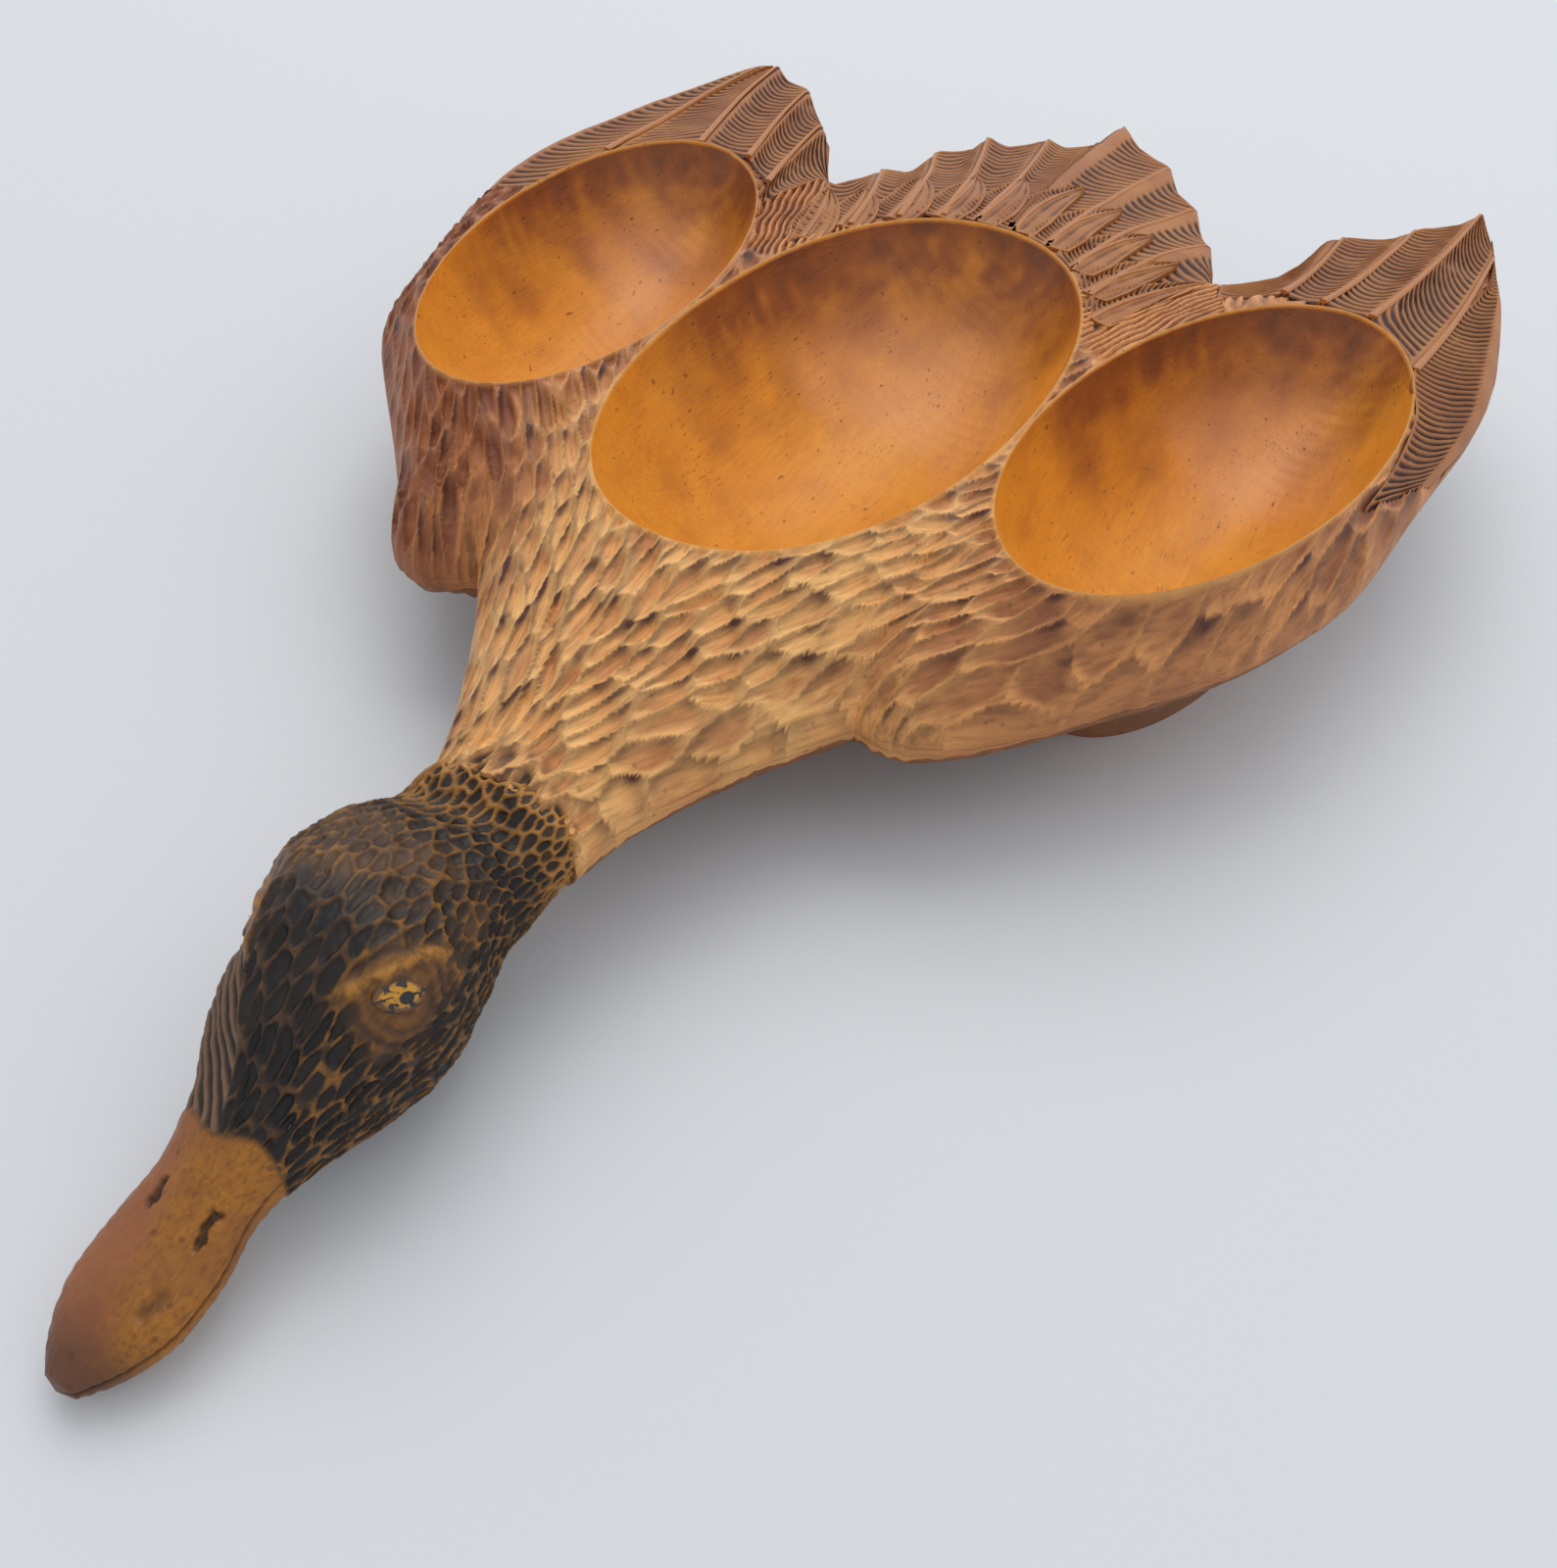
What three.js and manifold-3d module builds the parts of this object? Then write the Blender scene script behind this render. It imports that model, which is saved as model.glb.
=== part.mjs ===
// A serving tray carved as a flying duck: three bowls in the body and wings, feathered tail, neck and head.
// Millimetres, +Z up, bill toward -Y. The origin ends up under the middle of the tray, on the table.
// Left and right are as seen from in front of the bill, so the right wing is on the +X side.
// Plan points are measured from the middle of the centre bowl, and heights from the plane of the rims.

import * as THREE from "three";
import { mergeVertices } from "three/addons/utils/BufferGeometryUtils.js";
import Module from "manifold-3d";

const wasm = await Module();
wasm.setup();

// Main sizes. The plan was drawn for a tray of the drawn length and width, and stretches with the tray's own.
const TRAY_LENGTH = 584;
const TRAY_WIDTH = 346;
const RIM_HEIGHT = 74;
const DRAWN_LENGTH = 584;
const DRAWN_WIDTH = 346;
const LENGTHWISE = TRAY_LENGTH / DRAWN_LENGTH;
const CROSSWISE = TRAY_WIDTH / DRAWN_WIDTH;

const GLUE_GAP = 0.3;
const EDGE_ROUNDING = 0.85;
const EDGE_LIP = 4;
const UNDERCUT = 0.5;
const REST_SHARE = 0.62;
const BELLY_POWER = 2.6;

const CENTRE_BOWL = { x: 0, y: 0, halfLength: 108, halfWidth: 55.3, tilt: 0, power: 2.15, depth: 52 };
const SIDE_BOWL = { x: 102.4, y: 19.5, halfLength: 96, halfWidth: 42.4, tilt: 10.9, power: 2, depth: 46 };
const RIGHT_BOWL = { ...SIDE_BOWL };
const LEFT_BOWL = { ...SIDE_BOWL, x: -SIDE_BOWL.x, tilt: -SIDE_BOWL.tilt };
const BOWLS = [CENTRE_BOWL, RIGHT_BOWL, LEFT_BOWL];
const BOWL_CURVE = 2.4;
const BOWL_FLATNESS = 0.8;
const LAND_CURVE = 1.3;
const RIM_BLEND = 4;

const NECK_Y = -181;
const NECK_Z = -33.5;
const DOWEL = { diameter: 10, length: 46, spread: 9, clearance: 0.15, sides: 20 };

// Corners where the wings leave the body and the tail, and the knee of each wing joint beside the bowls
const RIGHT_ARMPIT = [55.5, -109];
const RIGHT_KNEE = [56.4, 8];
const RIGHT_TAIL_ROOT = [74, 126];
const LEFT_ARMPIT = [-58, -110];
const LEFT_KNEE = [-56.4, 8];
const LEFT_TAIL_ROOT = [-72, 126];

// Smooth edges, as points for a spline
const RIGHT_FLANK = [[22.5, NECK_Y], [25, -167], [31, -152], [41.5, -131], RIGHT_ARMPIT];
const LEFT_FLANK = [LEFT_ARMPIT, [-45, -128], [-30.5, -153], [-22, -172], [-19.5, NECK_Y]];
const RIGHT_WING_EDGE = [
  RIGHT_ARMPIT, [64, -110.5], [74, -107], [88, -96], [103, -80], [130, -49], [144, -26], [153, -4],
  [160, 40], [166.5, 80], [168, 112], [164, 155], [157.5, 195], [152, 225], [146, 248],
];
const LEFT_WING_EDGE = [
  [-146, 224], [-154, 215], [-160, 197], [-164, 172], [-171, 147], [-176.5, 115], [-178, 88], [-174.5, 57],
  [-167, 25], [-158, -5], [-153, -24], [-148, -39], [-136, -53], [-113, -77], [-100, -91.5], [-93, -102.5],
  [-84.5, -112.5], [-73.5, -116.5], [-65, -114.5], LEFT_ARMPIT,
];

// Feather ends, as straight cuts from point to point
const RIGHT_WING_FEATHERS = [
  [146, 248], [138, 229], [127, 216], [119, 200], [105, 190], [98, 182], [96, 163], [89, 144],
  RIGHT_TAIL_ROOT,
];
const LEFT_WING_FEATHERS = [
  LEFT_TAIL_ROOT, [-82, 144], [-91, 163], [-99, 173], [-112, 192], [-122, 206], [-133, 211], [-146, 224],
];
const TAIL_FEATHERS = [
  RIGHT_TAIL_ROOT, [70, 145], [64, 167], [58, 178], [50, 199], [38, 215], [29, 235], [12, 250], [3, 264],
  [-4, 274], [-6, 241], [-16, 231], [-24, 234], [-36, 218], [-47, 222], [-48, 204], [-54, 196], [-58, 192],
  [-59, 163], [-66, 158], [-68, 142], LEFT_TAIL_ROOT,
];

// Height of the top surface at the edge, and the radius that the edge is rounded over, along the duck
const EDGE_TOP = [[NECK_Y, -24], [-150, -21], [-110, -20], [-54, -15], [0, -9], [60, -6], [130, -6]];
const WING_EDGE_TOP = [...EDGE_TOP, [170, -4]];
const TAIL_EDGE_TOP = [...EDGE_TOP, [170, -11]];
const EDGE_RADIUS = [
  [NECK_Y, 14], [-150, 16], [-110, 16.5], [-54, 14], [0, 10.5], [60, 8], [110, 6.5], [170, 5],
];

// Head and bill. Each section has its share of the way from the neck joint to the bill's tip, its middle's
// share sideways of the half width and down of the drop, and its shares of the half width and half height.
const HEAD_LENGTH = 128;
const HEAD_HALF_WIDTH = 26;
const HEAD_HALF_HEIGHT = 29;
const HEAD_DROP = 33.5;
const HEAD_SECTIONS = [
  { reach: 0, side: 0.058, drop: 0, wide: 0.8, high: 0.517 },
  { reach: 0.062, side: -0.058, drop: 0.149, wide: 0.827, high: 0.552 },
  { reach: 0.148, side: -0.192, drop: 0.179, wide: 0.904, high: 0.759 },
  { reach: 0.258, side: -0.154, drop: 0.194, wide: 1, high: 0.931 },
  { reach: 0.359, side: -0.038, drop: 0.209, wide: 0.962, high: 1 },
  { reach: 0.445, side: 0, drop: 0.254, wide: 0.827, high: 0.914 },
  { reach: 0.523, side: -0.031, drop: 0.343, wide: 0.75, high: 0.707 },
  { reach: 0.602, side: -0.038, drop: 0.478, wide: 0.596, high: 0.466 },
  { reach: 0.695, side: -0.046, drop: 0.627, wide: 0.481, high: 0.328 },
  { reach: 0.789, side: -0.046, drop: 0.746, wide: 0.538, high: 0.259 },
  { reach: 0.883, side: -0.058, drop: 0.836, wide: 0.519, high: 0.259 },
  { reach: 0.953, side: -0.096, drop: 0.925, wide: 0.365, high: 0.207 },
  { reach: 1, side: -0.135, drop: 1, wide: 0.173, high: 0.121 },
];
const BILL_TIP = 1;
const HEAD_SQUARENESS = 2.2;
const HEAD_SIDES = 28;
const HEAD_RINGS = 24;

// Spacing of the surface points, as shares from the middle of a bowl to its rim, and from rim to edge
const BOWL_RINGS = [0.2, 0.38, 0.54, 0.68, 0.8, 0.89, 0.95, 0.985, 1];
const LAND_RINGS = [0.12, 0.28, 0.46, 0.64, 0.8, 0.92, 1];
const BELLY_RINGS = [1, 0.92, 0.8, 0.6, 0.35, 0];
const REST_RINGS = [0.82, REST_SHARE, 0.3];
const EDGE_STEP = 9;
const JOINT_STEP = 11;
const NECK_STEP = 3.5;

// Feather shafts from the root beside a bowl to the tip, with a sideways bow, in order across each fan
const RIGHT_WING_SHAFTS = [
  { root: [144, 86], tip: [155, 214], bow: 2 },
  { root: [126, 117], tip: [146, 250], bow: 2 },
  { root: [110, 119], tip: [127, 218], bow: 2 },
  { root: [97, 122], tip: [105, 192], bow: 1.5 },
];
const LEFT_WING_SHAFTS = [
  { root: [-146, 88], tip: [-151, 216], bow: -2 },
  { root: [-122, 115], tip: [-146, 226], bow: -2.5 },
  { root: [-101, 114], tip: [-122, 208], bow: -2 },
  { root: [-84, 98], tip: [-99, 175], bow: -2 },
];
const TAIL_SHAFTS = [
  { root: [-43, 82], tip: [-66, 160], bow: 2 },
  { root: [-32, 98], tip: [-58, 194], bow: 2.5 },
  { root: [-20, 108], tip: [-47, 224], bow: 2.5 },
  { root: [-8, 111], tip: [-24, 236], bow: 2 },
  { root: [4, 111], tip: [-4, 276], bow: -3 },
  { root: [20, 107], tip: [29, 237], bow: -3 },
  { root: [33, 96], tip: [50, 201], bow: -3 },
  { root: [44, 78], tip: [64, 169], bow: -2.5 },
];
// Short feathers over the roots of the tail
const TAIL_COVERTS = [
  { root: [-45, 78], tip: [-55, 120], halfWidth: 7, bow: 1.5 },
  { root: [-34, 94], tip: [-44, 146], halfWidth: 7.5, bow: 2 },
  { root: [-21, 105], tip: [-27, 158], halfWidth: 7.5, bow: 2 },
  { root: [-8, 109], tip: [-11, 166], halfWidth: 7.5, bow: 1.5 },
  { root: [52, 60], tip: [68, 106], halfWidth: 7, bow: -2 },
  { root: [45, 75], tip: [60, 122], halfWidth: 7.5, bow: -2.5 },
  { root: [35, 91], tip: [46, 141], halfWidth: 8, bow: -3 },
  { root: [21, 104], tip: [29, 160], halfWidth: 8, bow: -3 },
  { root: [7, 109], tip: [10, 176], halfWidth: 8, bow: -2.5 },
];
// Raised shafts, hollow vanes between them, and raised short feathers
const SHAFT_WIDTH = 2.6;
const SHAFT_HEIGHT = 1;
const SHAFT_TAPER = 0.55;
const SHAFT_SHOULDER = { out: 0.7, up: 0.6 };
const VANE_DIP = 1.05;
const VANE_SHOULDER = 0.15;
const COVERT_LIFT = 0.85;
const COVERT_SHAFT = 0.7;
const COVERT_OUTLINE = { root: 0.55, swell: 1.6, point: 2.6, round: 0.75, tip: 0.06 };
const SHAFT_ROOT = 1.5;
const HOLLOW_ROOT = 3;
const SHAFT_START = -0.04;
const SHAFT_END = 0.975;
const HOLLOW_END = 0.93;
const UNDER_RIM = 0.1;
const TOOL_DEPTH = 2;
const TOOL_HEADROOM = 4;
const ROOT_SEARCH_STEP = 0.005;
const FEATHER_STEPS = 6;
const FINEST = 0.03;

const along = (table, y) => {
  if (y <= table[0][0]) return table[0][1];
  for (let i = 1; i < table.length; i++) {
    const [y0, v0] = table[i - 1];
    const [y1, v1] = table[i];
    if (y < y1) return v0 + ((v1 - v0) * (y - y0)) / (y1 - y0);
  }
  return table[table.length - 1][1];
};

// Share of the way from a bowl's middle to its rim at a plan point: 1 on the rim
function rimShare(bowl, x, y) {
  const t = THREE.MathUtils.degToRad(bowl.tilt);
  const dx = x - bowl.x;
  const dy = y - bowl.y;
  const across = Math.abs(dx * Math.cos(t) - dy * Math.sin(t)) / bowl.halfWidth;
  const lengthwise = Math.abs(dx * Math.sin(t) + dy * Math.cos(t)) / bowl.halfLength;
  return (across ** bowl.power + lengthwise ** bowl.power) ** (1 / bowl.power);
}

// Distance from a plan point to the nearest bowl, each drawn in to a share of its size
function bowlDistance(x, y, share) {
  const distances = BOWLS.map((bowl) => {
    const reach = Math.hypot(x - bowl.x, y - bowl.y);
    return reach * (1 - share / Math.max(rimShare(bowl, x, y), 1e-6));
  });
  return Math.max(0, Math.min(...distances));
}

function spline(points, step) {
  const curve = new THREE.SplineCurve(points.map(([x, y]) => new THREE.Vector2(x, y)));
  const count = Math.max(2, Math.round(curve.getLength() / step));
  return curve.getSpacedPoints(count).map((p) => [p.x, p.y]);
}

function straight(points, step) {
  const out = [points[0]];
  for (let i = 1; i < points.length; i++) {
    const [x0, y0] = points[i - 1];
    const [x1, y1] = points[i];
    const count = Math.max(1, Math.round(Math.hypot(x1 - x0, y1 - y0) / step));
    for (let k = 1; k <= count; k++) out.push([x0 + ((x1 - x0) * k) / count, y0 + ((y1 - y0) * k) / count]);
  }
  return out;
}

const shifted = (points, dx) => points.map(([x, y]) => [x + dx, y]);

// Joins stretches of an outline that meet end to end
function outline(...stretches) {
  const out = [];
  for (const stretch of stretches) {
    for (const point of stretch) {
      const last = out[out.length - 1];
      if (!last || Math.hypot(point[0] - last[0], point[1] - last[1]) > 1) out.push(point);
    }
  }
  const gap = Math.hypot(out[0][0] - out[out.length - 1][0], out[0][1] - out[out.length - 1][1]);
  if (gap < 1) out.pop();
  return out;
}

// The whole outer edge except the end of the neck
const outerEdge = outline(
  spline(RIGHT_FLANK, EDGE_STEP),
  spline(RIGHT_WING_EDGE, EDGE_STEP),
  RIGHT_WING_FEATHERS,
  TAIL_FEATHERS,
  LEFT_WING_FEATHERS,
  spline(LEFT_WING_EDGE, EDGE_STEP),
  spline(LEFT_FLANK, EDGE_STEP),
);

function edgeDistance(x, y) {
  let best = Infinity;
  for (let i = 1; i < outerEdge.length; i++) {
    const [x0, y0] = outerEdge[i - 1];
    const [x1, y1] = outerEdge[i];
    const dx = x1 - x0;
    const dy = y1 - y0;
    const t = THREE.MathUtils.clamp(((x - x0) * dx + (y - y0) * dy) / (dx * dx + dy * dy), 0, 1);
    best = Math.min(best, Math.hypot(x - x0 - t * dx, y - y0 - t * dy));
  }
  return best;
}

// Drop of a rounded edge at a distance in from it
function edgeDrop(distance, radius) {
  const inside = Math.min(1, distance / radius);
  return EDGE_ROUNDING * radius * (1 - Math.sqrt(1 - (1 - inside) ** 2));
}

function topHeight(x, y, edgeTop) {
  const edge = edgeDistance(x, y);
  const bowl = bowlDistance(x, y, 1);
  const share = bowl / Math.max(bowl + edge, 1e-6);
  const drop = edgeDrop(edge, along(EDGE_RADIUS, y)) * Math.min(1, bowl / RIM_BLEND);
  return along(edgeTop, y) * share ** LAND_CURVE - drop;
}

function bellyHeight(x, y, edgeTop) {
  const edge = edgeDistance(x, y);
  const bowl = bowlDistance(x, y, REST_SHARE);
  const share = bowl / Math.max(bowl + edge, 1e-6);
  const radius = along(EDGE_RADIUS, y);
  const edgeBottom = along(edgeTop, y) - EDGE_ROUNDING * radius - EDGE_LIP;
  const bulge = UNDERCUT * radius * Math.sqrt(1 - (1 - Math.min(1, edge / radius)) ** 2);
  const rise = 1 - (1 - share) ** BELLY_POWER;
  return -RIM_HEIGHT + (edgeBottom - bulge + RIM_HEIGHT) * rise;
}

// A closed skin over rings with equal numbers of points and a pole at each end, stretched to the tray's size
function skin(rings, firstPole, lastPole) {
  const sides = rings[0].length;
  const positions = [...firstPole, ...rings.flat(2), ...lastPole];
  const last = 1 + rings.length * sides;
  const at = (ring, side) => 1 + ring * sides + (side % sides);
  const faces = [];
  for (let j = 0; j < sides; j++) {
    faces.push(0, at(0, j), at(0, j + 1));
    for (let i = 1; i < rings.length; i++) {
      faces.push(at(i - 1, j), at(i, j), at(i, j + 1));
      faces.push(at(i - 1, j), at(i, j + 1), at(i - 1, j + 1));
    }
    faces.push(at(rings.length - 1, j), last, at(rings.length - 1, j + 1));
  }
  const geometry = new THREE.BufferGeometry();
  geometry.setAttribute("position", new THREE.Float32BufferAttribute(positions, 3));
  geometry.setIndex(faces);
  return geometry.scale(CROSSWISE, LENGTHWISE, 1);
}

// A carved block round one bowl: bowl, land out to the edge, side and belly
function carvedBlock(bowl, edge, edgeTop) {
  const spokes = edge.map(([x, y]) => {
    const reach = 1 / rimShare(bowl, x, y);
    return { edge: [x, y], rim: [bowl.x + (x - bowl.x) * reach, bowl.y + (y - bowl.y) * reach] };
  });
  const inBowl = (share) => spokes.map(({ rim }) => [
    bowl.x + (rim[0] - bowl.x) * share,
    bowl.y + (rim[1] - bowl.y) * share,
  ]);
  const onLand = (share) => spokes.map(({ rim, edge: end }) => [
    rim[0] + (end[0] - rim[0]) * share,
    rim[1] + (end[1] - rim[1]) * share,
  ]);
  const bowlDepth = (share) => -bowl.depth * (1 - share ** BOWL_CURVE) ** BOWL_FLATNESS;
  const belly = ([x, y]) => [x, y, bellyHeight(x, y, edgeTop)];
  const rings = [
    ...BOWL_RINGS.map((share) => inBowl(share).map(([x, y]) => [x, y, bowlDepth(share)])),
    ...LAND_RINGS.map((share) => onLand(share).map(([x, y]) => [x, y, topHeight(x, y, edgeTop)])),
    ...BELLY_RINGS.map((share) => onLand(share).map(belly)),
    ...REST_RINGS.map((share) => inBowl(share).map(belly)),
  ];
  return skin(rings, [bowl.x, bowl.y, -bowl.depth], [bowl.x, bowl.y, -RIM_HEIGHT]);
}

// A point on a shaft at a share of its length
function onShaft({ root, tip, bow }, share) {
  const [dx, dy] = [tip[0] - root[0], tip[1] - root[1]];
  const side = (bow * Math.sin(Math.PI * share)) / Math.hypot(dx, dy);
  return [root[0] + dx * share + dy * side, root[1] + dy * share - dx * side];
}

// Even steps along a line from where it clears the rims
function clearOfRims(pointAt, clearance, from, to) {
  let start = from;
  while (start < to / 2 && bowlDistance(...pointAt(start), 1) < clearance) start += ROOT_SEARCH_STEP;
  const step = (to - start) / FEATHER_STEPS;
  return Array.from({ length: FEATHER_STEPS + 1 }, (_, i) => pointAt(start + step * i));
}

// A closed strip whose cross-section at each step is a ring of points, turned to face outward
function strip(sections) {
  const middleOf = (ring) => [0, 1, 2].map((k) => ring.reduce((sum, p) => sum + p[k], 0) / ring.length);
  const solidOf = (rings) => toSolid(skin(rings, middleOf(rings[0]), middleOf(rings[rings.length - 1])));
  const made = solidOf(sections);
  return made.volume() > 0 ? made : solidOf(sections.map((ring) => [...ring].reverse()));
}

// A strip along a line, from places across it and heights over the land
function ridge(pointAt, sectionAt, edgeTop) {
  const line = clearOfRims(pointAt, SHAFT_ROOT, SHAFT_START, SHAFT_END);
  return strip(line.map(([x, y], i) => {
    const [x0, y0] = line[Math.max(0, i - 1)];
    const [x1, y1] = line[Math.min(line.length - 1, i + 1)];
    const length = Math.hypot(x1 - x0, y1 - y0);
    const land = topHeight(x, y, edgeTop);
    return sectionAt(i / (line.length - 1)).map(([across, up]) => [
      x + (across * (y1 - y0)) / length,
      y - (across * (x1 - x0)) / length,
      Math.min(land + up, -UNDER_RIM),
    ]);
  }));
}

function shaftRidge(shaft, edgeTop) {
  return ridge((share) => onShaft(shaft, share), (share) => {
    const taper = 1 - SHAFT_TAPER * share;
    const half = (SHAFT_WIDTH / 2) * taper;
    const top = SHAFT_HEIGHT * taper;
    const { out, up } = SHAFT_SHOULDER;
    return [
      [half, -TOOL_DEPTH], [half * out, top * up], [0, top], [-half * out, top * up], [-half, -TOOL_DEPTH],
    ];
  }, edgeTop);
}

function covertFeather(covert, edgeTop) {
  return ridge((share) => onShaft(covert, share), (share) => {
    const { root, swell, point, round, tip } = COVERT_OUTLINE;
    const narrowing = Math.max(tip, 1 - share ** point) ** round;
    const half = covert.halfWidth * Math.min(1, root + swell * share) * narrowing;
    const hollow = COVERT_LIFT - VANE_DIP / 2;
    return [[half, -TOOL_DEPTH], [half, COVERT_LIFT], [half / 2, hollow],
      [0, COVERT_LIFT + SHAFT_HEIGHT * COVERT_SHAFT],
      [-half / 2, hollow], [-half, COVERT_LIFT], [-half, -TOOL_DEPTH]];
  }, edgeTop);
}

// What the gouge takes out between two neighbouring shafts
function vaneHollow(first, second, edgeTop) {
  const lines = [0, 0.5, 1].map((across) => clearOfRims((share) => {
    const [x0, y0] = onShaft(first, share);
    const [x1, y1] = onShaft(second, share);
    return [x0 + (x1 - x0) * across, y0 + (y1 - y0) * across];
  }, HOLLOW_ROOT, 0, HOLLOW_END));
  return strip(lines[0].map((_, i) => {
    const at = (line, height) => [...lines[line][i], topHeight(...lines[line][i], edgeTop) + height];
    return [at(0, -VANE_SHOULDER), at(0, TOOL_HEADROOM), at(2, TOOL_HEADROOM), at(2, -VANE_SHOULDER),
      at(1, -VANE_DIP)];
  }));
}

// Feathers carved on a block: hollows between the shafts, then the shafts and the short feathers
function withFeathers(geometry, shafts, coverts, edgeTop) {
  let solid = toSolid(geometry);
  for (let i = 1; i < shafts.length; i++) {
    solid = solid.subtract(vaneHollow(shafts[i - 1], shafts[i], edgeTop));
  }
  for (const shaft of shafts) solid = solid.add(shaftRidge(shaft, edgeTop));
  for (const covert of coverts) solid = solid.add(covertFeather(covert, edgeTop));
  return toGeometry(solid.simplify(FINEST));
}

function toSolid(geometry) {
  const bare = geometry.clone();
  bare.deleteAttribute("normal");
  bare.deleteAttribute("uv");
  const merged = mergeVertices(bare, 1e-4);
  const vertProperties = new Float32Array(merged.attributes.position.array);
  const triVerts = new Uint32Array(merged.index.array);
  return new wasm.Manifold(new wasm.Mesh({ numProp: 3, vertProperties, triVerts }));
}

function toGeometry(solid) {
  const mesh = solid.getMesh();
  const geometry = new THREE.BufferGeometry();
  geometry.setAttribute("position", new THREE.Float32BufferAttribute(mesh.vertProperties, 3));
  geometry.setIndex(new THREE.Uint32BufferAttribute(mesh.triVerts, 1));
  geometry.computeVertexNormals();
  return geometry;
}

// A dowel across the neck joint, or with a clearance the hole for it
function dowelShape(side, clearance) {
  const radius = DOWEL.diameter / 2 + clearance;
  const shape = new THREE.CylinderGeometry(radius, radius, DOWEL.length + 2 * clearance, DOWEL.sides);
  shape.translate(side * DOWEL.spread, (NECK_Y - GLUE_GAP / 2) * LENGTHWISE, NECK_Z);
  return shape;
}

function withDowelHoles(geometry) {
  let solid = toSolid(geometry);
  for (const side of [-1, 1]) solid = solid.subtract(toSolid(dowelShape(side, DOWEL.clearance)));
  return toGeometry(solid);
}

// Sections through the head and bill, turned round the line of their middles
function headShape() {
  const curveOf = (sizeOf) =>
    new THREE.SplineCurve(HEAD_SECTIONS.map((section, i) => new THREE.Vector2(i, sizeOf(section))));
  const middleX = curveOf((section) => HEAD_HALF_WIDTH * section.side);
  const middleY = curveOf((section) => NECK_Y - GLUE_GAP - HEAD_LENGTH * section.reach);
  const middleZ = curveOf((section) => NECK_Z - HEAD_DROP * section.drop);
  const halfWidth = curveOf((section) => HEAD_HALF_WIDTH * section.wide);
  const halfHeight = curveOf((section) => HEAD_HALF_HEIGHT * section.high);
  const middle = (t) => [middleX.getPoint(t).y, middleY.getPoint(t).y, middleZ.getPoint(t).y];
  const power = HEAD_SQUARENESS;
  const rings = [];
  for (let i = 0; i <= HEAD_RINGS; i++) {
    const t = i / HEAD_RINGS;
    const [x, y, z] = middle(t);
    const ring = [];
    for (let j = 0; j < HEAD_SIDES; j++) {
      const angle = (-2 * Math.PI * j) / HEAD_SIDES;
      const across = Math.cos(angle);
      const up = Math.sin(angle);
      const reach = (Math.abs(across) ** power + Math.abs(up) ** power) ** (-1 / power);
      const width = halfWidth.getPoint(t).y * across * reach;
      const height = halfHeight.getPoint(t).y * up * reach;
      ring.push([x + width, y, z + height]);
    }
    rings.push(ring);
  }
  const [tipX, tipY, tipZ] = middle(1);
  return skin(rings, middle(0), [tipX, tipY - BILL_TIP, tipZ]);
}

function bodyBlock() {
  const half = GLUE_GAP / 2;
  const edge = outline(
    spline(RIGHT_FLANK, EDGE_STEP),
    shifted(straight([RIGHT_ARMPIT, RIGHT_KNEE, RIGHT_TAIL_ROOT], JOINT_STEP), -half),
    TAIL_FEATHERS,
    shifted(straight([LEFT_TAIL_ROOT, LEFT_KNEE, LEFT_ARMPIT], JOINT_STEP), half),
    spline(LEFT_FLANK, EDGE_STEP),
    straight([LEFT_FLANK[LEFT_FLANK.length - 1], RIGHT_FLANK[0]], NECK_STEP),
  );
  const block = carvedBlock(CENTRE_BOWL, edge, TAIL_EDGE_TOP);
  return withDowelHoles(withFeathers(block, TAIL_SHAFTS, TAIL_COVERTS, TAIL_EDGE_TOP));
}

function rightWing() {
  const edge = outline(
    spline(RIGHT_WING_EDGE, EDGE_STEP),
    RIGHT_WING_FEATHERS,
    shifted(straight([RIGHT_TAIL_ROOT, RIGHT_KNEE, RIGHT_ARMPIT], JOINT_STEP), GLUE_GAP / 2),
  );
  return withFeathers(carvedBlock(RIGHT_BOWL, edge, WING_EDGE_TOP), RIGHT_WING_SHAFTS, [], WING_EDGE_TOP);
}

function leftWing() {
  const edge = outline(
    LEFT_WING_FEATHERS,
    spline(LEFT_WING_EDGE, EDGE_STEP),
    shifted(straight([LEFT_ARMPIT, LEFT_KNEE, LEFT_TAIL_ROOT], JOINT_STEP), -GLUE_GAP / 2),
  );
  return withFeathers(carvedBlock(LEFT_BOWL, edge, WING_EDGE_TOP), LEFT_WING_SHAFTS, [], WING_EDGE_TOP);
}

function headBlock() {
  return withDowelHoles(headShape());
}

// Wood colours
const HONEY = 0xb9742e;
const DARK_STAIN = 0x4a3222;
const BARE = 0xc9a06a;

function piece(name, geometry, color, roughness) {
  const mesh = new THREE.Mesh(geometry, new THREE.MeshStandardMaterial({ color, roughness, metalness: 0 }));
  mesh.name = name;
  return mesh;
}

const tray = new THREE.Group();
tray.add(
  piece("body_block", bodyBlock(), HONEY, 0.45),
  piece("left_wing", leftWing(), HONEY, 0.45),
  piece("right_wing", rightWing(), HONEY, 0.45),
  piece("head_block", headBlock(), DARK_STAIN, 0.6),
  piece("left_dowel", dowelShape(-1, 0), BARE, 0.7),
  piece("right_dowel", dowelShape(1, 0), BARE, 0.7),
);

// Stands the tray on its rest faces, centred over the origin
const bounds = new THREE.Box3().setFromObject(tray, true);
const middle = bounds.getCenter(new THREE.Vector3());
tray.position.set(-middle.x, -middle.y, -bounds.min.z);

export default tray;
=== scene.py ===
"""Carved look of a duck-shaped tray: gouged breast and wings, feathered tail, stained head and oiled bowls."""

import functools
import math

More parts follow.
